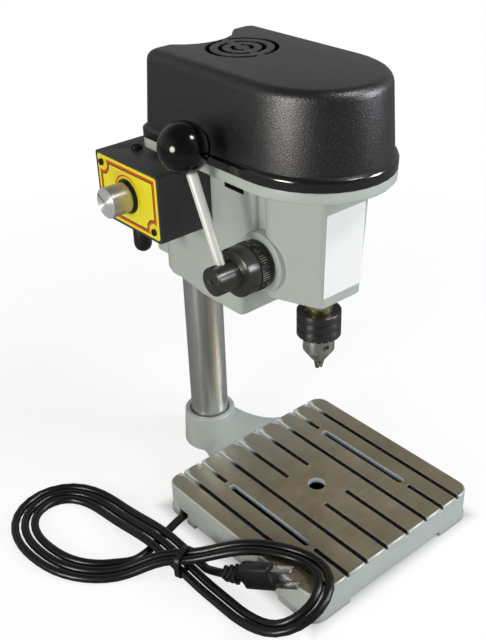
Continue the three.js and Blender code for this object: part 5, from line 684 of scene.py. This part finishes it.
round_black = brushed(finish(
    "round_black", "555555", 0.4, 0.9, second="464646", spread=0.12, patch=70, skin=1600,
    height=0.04, wear=0.8, wear_colour="9a9894", wear_width=0.4 * mm))
finished("chuck_body", "spindle", "bright_steel", round_steel, bevel=0.15 * mm)
for node in ("chuck_sleeve", "chuck_ring_nut"):
    finished(node, "chuck_ring", "dark_steel", round_black, bevel=0.12 * mm)
for number in (1, 2, 3):
    finished(f"chuck_jaw_{number}", f"jaw_{number}", "bright_steel", bright_steel)


# Feed. The pinion's shaft runs in two brass bushes; outside it carries a blackened hub, the
# graduated depth ring with its knurled rim, and the plated lever with its moulded ball.

feed_y, feed_z = -103.5 * mm, 214 * mm
teeth, steps_per_tooth, knurl_depth = 64, 4, 0.4 * mm
knurl_bore, knurl_radius, knurl_break = 15.6 * mm, 16.6 * mm, 0.4 * mm
knurl_outer, knurl_inner, crest_start = -42.4 * mm, -36 * mm, 16.42 * mm
lever_foot = Vector((-60 * mm, feed_y, feed_z))
lever_lean, lever_out = radians(15.9), radians(5.4)
lever_line = Vector((
    -sin(lever_out), cos(lever_out) * sin(lever_lean), cos(lever_out) * cos(lever_lean)))
lever_profile = ((0, 4.5), (3.2, 4.5), (3.2, 10.5), (3.5, 66.6), (3.5, 68.6), (2.7, 69.6), (2.7, 76.6),
                 (0, 76.6))
ball_reach, ball_radius, ball_flat = 84.6 * mm, 16 * mm, 14.83 * mm

brass = finish("plain_brass", "bf9d58", 0.3, 1.0, second="a58446", spread=0.15, patch=90, skin=1500,
               height=0.06)
hub_black = brushed(finish(
    "hub_black", "686866", 0.32, 0.92, second="5a5a58", spread=0.12, patch=70, skin=1600,
    height=0.03, wear=0.8, wear_colour="a4a29e", wear_width=0.4 * mm), along=(1, 0, 0))
ring_black = finish(
    "ring_black", "131314", 0.38, 0.2, second="0e0e0f", spread=0.12, patch=70, skin=1600,
    height=0.08, wear=0.7, wear_colour="6f6d68", wear_width=0.3 * mm)
satin_plate = brushed(finish(
    "satin_plate", "eeeeeb", 0.38, 0.4, second="e4e4e0", spread=0.1, patch=60, skin=1400,
    height=0.04, wear=0.2, wear_colour="f2f1ee", wear_width=0.3 * mm), along=lever_line, amount=0.6)
phenolic = finish("black_phenolic", "030304", 0.13, 0.0, second="080809", spread=0.02, patch=60,
                  skin=200, height=0.01)

finished("pinion_shaft", "feed", "bright_steel", bright_steel)
for node in ("pinion_bush_left", "pinion_bush_right"):
    finished(node, "head", "brass", brass)
finished("feed_hub", "feed", "dark_steel", hub_black, bevel=0.2 * mm)
finished("depth_ring", "depth_stop", "dark_steel", ring_black, bevel=0.2 * mm)

knurl = turned("depth_ring_knurl", [
    (knurl_bore, knurl_outer), (knurl_radius - knurl_break, knurl_outer),
    (knurl_radius, knurl_outer + knurl_break), (knurl_radius, knurl_inner - knurl_break),
    (knurl_radius - knurl_break, knurl_inner), (knurl_bore, knurl_inner),
], steps=teeth * steps_per_tooth, smooth=20)
for vertex in knurl.data.vertices:
    spot = vertex.co
    step = round(atan2(spot.y, spot.x) * teeth * steps_per_tooth / (2 * pi)) % steps_per_tooth
    reach = (spot.x ** 2 + spot.y ** 2) ** 0.5
    if reach > knurl_bore + knurl_depth and step in (1, 2):
        spot.x *= 1 - knurl_depth / reach
        spot.y *= 1 - knurl_depth / reach
lay(knurl, (0, feed_y, feed_z), axis=(1, 0, 0), about=(0, 1, 0))


def from_axis(tree, place, y, z):
    """How far a point lies behind an axis along X, and above it, and its distance from it."""
    gap = place_sum(tree, "ADD", place, (0, -y, -z))
    flat = place_sum(tree, "MULTIPLY", gap, (0, 1, 1))
    apart = sides_of(tree, flat)
    return apart["Y"], apart["Z"], place_sum(tree, "LENGTH", flat)


# The knurl's crests are painted lighter: rubbed bright by the hand that sets the stop, and a painted
# highlight along them.
knurl_black = ring_black.copy()
knurl_black.name = "knurl_black"
tree, shader, place = opened(knurl_black)
_, _, reach = from_axis(tree, place, feed_y, feed_z)
crest = graded(tree, reach, crest_start, knurl_radius)
rubbed_and_highlit = graded(tree, noise(tree, place, 260.0, 3.0), 0.44, 0.6)
paint_over(tree, shader, sum_of(tree, "MULTIPLY", crest, rubbed_and_highlit), "9b9a95")
fit(knurl, "depth_stop", "dark_steel", material=knurl_black)

lever = turned("lever_rod_finished", [(radius * mm, height * mm) for radius, height in lever_profile],
               steps=48, closed=False)
lay(lever, lever_foot, axis=lever_line, about=(1, 0, 0))
fit(lever, "feed", "bright_steel", "lever_rod", material=satin_plate)

bpy.ops.mesh.primitive_uv_sphere_add(segments=72, ring_count=40, radius=ball_radius, location=(0, 0, 0))
ball = bpy.context.object
ball.name = "lever_ball_finished"
bpy.ops.object.mode_set(mode="EDIT")
bpy.ops.mesh.select_all(action="SELECT")
bpy.ops.mesh.bisect(plane_co=(0, 0, -ball_flat), plane_no=(0, 0, 1), clear_inner=True, use_fill=True)
bpy.ops.object.mode_set(mode="OBJECT")
bpy.ops.object.shade_smooth_by_angle(angle=radians(35))
lay(ball, lever_foot + lever_line * ball_reach, axis=lever_line, about=(1, 0, 0))
fit(ball, "feed", "gloss_plastic", "lever_ball", material=phenolic)


# Return spring and its housing. A blackened steel cup on the head's far side, with the
# flat coil spring in it that winds the quill back up.

finished("spring_housing", "head", "dark_steel", blackened, bevel=0.3 * mm)
finished("return_spring", "head", "bright_steel", bright_steel)


# Control box. A black moulded box on the head's left side, closed by a printed yellow
# plate. It holds the speed regulator, its board and the fuse.

panel_y, panel_z, print_half_width, print_half_height = -18 * mm, 245 * mm, 33.2 * mm, 21.7 * mm
screw_places, screw_clearance = ((10 * mm, 261.5 * mm), (-46 * mm, 228.5 * mm)), 3.6 * mm
red_line, black_line = (2.1 * mm, 3.6 * mm), (3.7 * mm, 4.7 * mm)
knob_y, knob_z = -17.5 * mm, 245 * mm
arc_radius, arc_growth, arc_thickness = 14 * mm, 0.16 * mm, 0.22 * mm
arc_start, arc_end = radians(-8), radians(158)

box_grain = finish(
    "box_grain", "38393b", 0.42, 0.0, second="2c2d2e", spread=0.08, patch=45, skin=1100,
    height=0.35, wear=0.25, wear_colour="505050", wear_width=0.5 * mm, wear_metallic=0.0)
panel_yellow = finish("panel_yellow", "d6cf1c", 0.4, 0.0, second="d3c518", spread=0.08, patch=30,
                      skin=700, height=0.05)
board_green = finish("board_green", "1e5f38", 0.4, 0.0, second="194f2f", spread=0.1, patch=120,
                     skin=900, height=0.1)
moulded = finish("moulded_black", "111112", 0.4, 0.0, second="0d0d0e", spread=0.1, patch=80,
                 skin=1200, height=0.2)


def band(tree, value, low, high, soft=0.15 * mm):
    """A mask that is one where a value lies between low and high."""
    rise = graded(tree, value, low - soft, low + soft)
    fall = graded(tree, value, high - soft, high + soft, 1.0, 0.0)
    return sum_of(tree, "MULTIPLY", rise, fall)


# The plate's print: a red line with a black one inside it, drawn round the screws, and a red arc.
tree, shader, place = opened(panel_yellow)
across, above, _ = from_axis(tree, place, panel_y, panel_z)
inside = sum_of(
    tree, "MINIMUM", sum_of(tree, "SUBTRACT", print_half_width, sum_of(tree, "ABSOLUTE", across)),
    sum_of(tree, "SUBTRACT", print_half_height, sum_of(tree, "ABSOLUTE", above)))
for y, z in screw_places:
    _, _, away = from_axis(tree, place, y, z)
    inside = sum_of(tree, "MINIMUM", inside, sum_of(tree, "SUBTRACT", away, screw_clearance))
paint_over(tree, shader, band(tree, inside, *red_line), "c8300f")
paint_over(tree, shader, band(tree, inside, *black_line), "14100c")
forward, upward, reach = from_axis(tree, place, knob_y, knob_z)
bearing = sum_of(tree, "ARCTAN2", upward, sum_of(tree, "MULTIPLY", forward, -1.0))
thick = sum_of(tree, "MULTIPLY_ADD", bearing, arc_growth, arc_thickness)
off_ring = sum_of(tree, "ABSOLUTE", sum_of(tree, "SUBTRACT", reach, arc_radius))
ring = sum_of(tree, "LESS_THAN", off_ring, thick)
swept = band(tree, bearing, arc_start, arc_end, soft=radians(1))
paint_over(tree, shader, sum_of(tree, "MULTIPLY", ring, swept), "cf3a12")

fit(merged_copy("control_box_shell", "control_box_finished", bevel=0.5 * mm), "head", "box_plastic",
    "control_box_shell", material=box_grain)
finished("control_panel", "head", "panel", panel_yellow, bevel=0.2 * mm)
for node in ("panel_screw_1", "panel_screw_2", "box_top_screw", "potentiometer"):
    finished(node, "head", "dark_steel", blackened, bevel=0.15 * mm)
finished("circuit_board", "head", "board", board_green)
finished("fuse_holder", "head", "rubber", moulded)
finished("fuse_cap", "fuse", "rubber", moulded, bevel=0.2 * mm)


# Speed knob. A turned aluminium knob with a spun face and a black pointer line, on a black
# moulded skirt. It is pressed on the regulator's steel shaft.

pointer_start, pointer_end, pointer_half = 1.5 * mm, 11 * mm, 0.45 * mm
pointer_forward, pointer_upward = 0.86, 0.5
face_tilt = 0.6

knob_alloy = finish("knob_alloy", "dcdddd", 0.5, 0.65, second="d0d1d2", spread=0.08, patch=45,
                    skin=2200, height=0.0)
knob_side = brushed(finish(
    "knob_side", "d8d9d9", 0.42, 0.9, second="c8c9ca", spread=0.1, patch=45, skin=2200,
    height=0.0), along=(1, 0, 0))
tree, shader, place = opened(knob_alloy)
forward, upward, _ = from_axis(tree, place, knob_y, knob_z)
brushed(knob_alloy, along=(0, forward, upward), amount=0.95)
line_along = sum_of(tree, "MULTIPLY_ADD", forward, pointer_forward,
                    sum_of(tree, "MULTIPLY", upward, pointer_upward))
line_aside = sum_of(tree, "MULTIPLY_ADD", forward, -pointer_upward,
                    sum_of(tree, "MULTIPLY", upward, pointer_forward))
paint_over(tree, shader, sum_of(
    tree, "MULTIPLY", band(tree, line_along, pointer_start, pointer_end),
    band(tree, line_aside, -pointer_half, pointer_half)), "1a1a1c")

finished("knob_skirt", "speed", "rubber", moulded)
knob = finished("speed_knob", "speed", "aluminium", knob_alloy, bevel=0.2 * mm)
knob.data.materials.append(knob_side)
for face in knob.data.polygons:
    if abs(face.normal.x) < face_tilt:
        face.material_index = 1
finished("knob_shaft", "speed", "bright_steel", bright_steel)


# Mains lead. A round black lead that leaves a tapered gland behind the column, drops to
# the bench, passes under the base, and is folded in a tied bow beside it.

lead_radius = 3 * mm
outlet = Vector((24.273, 29.237, 0)) * mm
drop_heights = (186.7, *range(182, 60, -4))
guide = [Vector(p) * mm for p in (
    (-146, -84, 0), (-164, -70, 0), (-176, -52, 0), (-181, -30, 0), (-181.5, -6, 0), (-171.5, 15, 0),
    (-150, 23.5, 0), (-128.5, 15, 0), (-118.5, -6, 0), (-117, -30, 0.5), (-115.5, -54, 4),
    (-114, -80, 8.6), (-112.5, -106, 3.8), (-111.5, -130, 0), (-111, -152, -1), (-110.5, -171, 0),
    (-110, -188, 5), (-106.8, -200.8, 10.5), (-97.8, -209.6, 17), (-85.3, -213, 23.2),
    (-73, -209.6, 27.6), (-64, -200.8, 29.4), (-60.5, -188, 28.6), (-63, -172, 27), (-72, -156.5, 27),
    (-84, -142.5, 27.5), (-97, -128.5, 21), (-109, -113.5, 12.2), (-124, -98.5, 13.5))]
bow_pitch, first_turn, last_turn, middle_turn = 7.3 * mm, 0.03, 2.49, 1.2
ring_steps, bow_steps, stretch_steps, tail_steps = 6, 200, 90, 8
start_turn = radians(8)
floor_route = [Vector(p) * mm for p in (
    (24.3, 29.3, 62), (24.3, 29.3, 45), (24.3, 29.3, 27), (25.3, 26.3, 15), (28.1, 17.9, 6.4),
    (32, 6.5, 3.5), (37, -9, 3.1), (44, -27, 3), (51.5, -43, 3), (53.5, -58, 3), (46, -73, 3),
    (28, -81, 3), (0, -79, 3), (-30, -71.5, 3), (-60, -66, 3), (-82, -67, 3), (-96, -70.5, 3),
    (-110, -75, 3), (-123, -78.8, 3), (-135, -78.8, 3))]
plug_start, plug_tip = Vector((-99.5, -143, 14)) * mm, Vector((-82.2, -191.5, 35.2)) * mm

lead_jacket = finish("lead_jacket", "0b0b0c", 0.3, 0.0, second="0f0f10", spread=0.12, patch=60,
                     skin=900, height=0.15)
finished("cord_gland", "head", "rubber", lead_jacket, bevel=0.2 * mm)


def curve_through(points, ring=False):
    """The smooth curve through points as a function of its share of the length, from 0 to 1."""
    count = len(points)

    def at(share):
        place = share * (count if ring else count - 1)
        start = min(int(floor(place)), count - (0 if ring else 2))
        weight = place - start
        if ring:
            a, b, c, d = (points[(start + k) % count] for k in (-1, 0, 1, 2))
        else:
            b, c = points[start], points[start + 1]
            a = points[start - 1] if start else b * 2 - c
            d = points[start + 2] if start + 2 < count else c * 2 - b
        first, middle, last = ((b - a).length ** 0.5, (c - b).length ** 0.5, (d - c).length ** 0.5)
        leave = ((b - a) / first - (c - a) / (first + middle) + (c - b) / middle) * middle
        enter = ((c - b) / middle - (d - b) / (middle + last) + (d - c) / last) * middle
        square, cube = weight ** 2, weight ** 3
        return (b + leave * weight + (c * 3 - b * 3 - leave * 2 - enter) * square
                + (b * 2 - c * 2 + leave + enter) * cube)

    samples = 1200
    dense = [at(i / samples) for i in range(samples + 1)]
    lengths = [0]
    for i in range(samples):
        lengths.append(lengths[-1] + (dense[i + 1] - dense[i]).length)

    def by_length(share):
        target = share * lengths[-1]
        low, high = 0, samples
        while high - low > 1:
            middle = (low + high) // 2
            if lengths[middle] <= target:
                low = middle
            else:
                high = middle
        part = (target - lengths[low]) / max(lengths[high] - lengths[low], 1e-12)
        return at((low + part) / samples)

    return by_length


# The bow's ring is a smooth curve near the guide points; each turn lies beside the one before.
bow = []
for i in range(len(guide)):
    a, b, c, d = (guide[(i + k) % len(guide)] for k in (-1, 0, 1, 2))
    for k in range(ring_steps):
        w = k / ring_steps
        bow.append((a * (1 - w) ** 3 + b * (3 * w ** 3 - 6 * w ** 2 + 4)
                    + c * (-3 * w ** 3 + 3 * w ** 2 + 3 * w + 1) + d * w ** 3) / 6)
bow_at = curve_through(bow, ring=True)


def bow_point(turns):
    """A point of the hank's centre line, after so many turns of the bow."""
    share = turns - floor(turns)
    here = bow_at(share)
    along = bow_at((share + 0.001) % 1) - bow_at((share - 0.001) % 1)
    along.z = 0
    along.normalize()
    aside = bow_pitch * (turns - middle_turn)
    return Vector((here.x - along.y * aside, here.y + along.x * aside, lead_radius + max(here.z, 0)))


hank = [bow_point(first_turn + (last_turn - first_turn) * i / bow_steps) for i in range(bow_steps + 1)]
start_run = hank[0] - hank[1]
start_run.z = 0
start_run.normalize()
start_run = Matrix.Rotation(start_turn, 3, "Z") @ start_run
end_run = (hank[-1] - hank[-2]).normalized()
hank.insert(0, hank[0] + start_run * 2 * lead_radius)
hank.append(hank[-1] + end_run * 2 * lead_radius)
stretch_at = curve_through(floor_route + [hank[0]])
stretch = [stretch_at(i / stretch_steps) for i in range(stretch_steps)]
plug_line = (plug_tip - plug_start).normalized()
tail_at = curve_through([
    hank[-1], hank[-1] + end_run * lead_radius, plug_start - plug_line * lead_radius, plug_start])
tail = [tail_at(i / tail_steps) for i in range(1, tail_steps + 1)]


def lead_tube(name, points):
    """A round tube through points, made as a curve and turned into a mesh."""
    curve = bpy.data.curves.new(name, "CURVE")
    curve.dimensions = "3D"
    curve.bevel_depth = lead_radius
    curve.bevel_resolution = 5
    curve.use_fill_caps = True
    spline = curve.splines.new("POLY")
    spline.points.add(len(points) - 1)
    for point, place in zip(spline.points, points):
        point.co = (*place, 1)
    tube = bpy.data.objects.new(name, curve)
    bpy.context.scene.collection.objects.link(tube)
    take(tube)
    bpy.ops.object.convert(target="MESH")
    tube = bpy.context.object
    bpy.ops.object.shade_smooth_by_angle(angle=radians(40))
    tube.data.materials.clear()
    tube.data.materials.append(lead_jacket)
    return tube


drop = [Vector((outlet.x, outlet.y, z * mm)) for z in drop_heights]
drop_tube = lead_tube("lead_drop", drop)
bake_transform(drop_tube)
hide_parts("cord_drop")

run = stretch + hank + tail
run_tube = lead_tube("lead_run", run)
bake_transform(run_tube)
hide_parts("cord_floor_stretch", "cord_hank", "cord_tail")


# Plug and tie. The plug is moulded in black on the lead's end, with two flat bright blades
# and a ribbed strain relief behind it; a moulded black tie is closed round the hank.

rib_thickness, rib_edge, rib_about = 8.6 * mm, 0.9 * mm, (0.86, 0.31, 0.4)
rib_sizes = ((-3, 3.2, 9), (1.6, 3.2, 10.4), (6.2, 3.6, 12))

plug_pieces = [finished("plug_body", "base", "rubber", moulded, bevel=0.3 * mm)]
for number, (start, length, width) in enumerate(rib_sizes, 1):
    bpy.ops.mesh.primitive_cube_add(size=1, location=(0, 0, 0))
    rib = bpy.context.object
    rib.name = f"plug_rib_{number}"
    rib.data.transform(Matrix.Diagonal((width * mm, rib_thickness, length * mm, 1)))
    break_edges(rib, rib_edge, segments=3)
    bpy.ops.object.shade_smooth_by_angle(angle=radians(40))
    lay(rib, plug_start + plug_line * (start + length / 2) * mm, axis=plug_line, about=rib_about)
    plug_pieces.append(fit(rib, "base", "rubber", material=moulded))
for number in (1, 2):
    plug_pieces.append(finished(f"plug_blade_{number}", "base", "brass", bright_steel, bevel=0.2 * mm))
plug_pieces.append(finished("hank_tie", "base", "rubber", moulded, bevel=0.15 * mm))
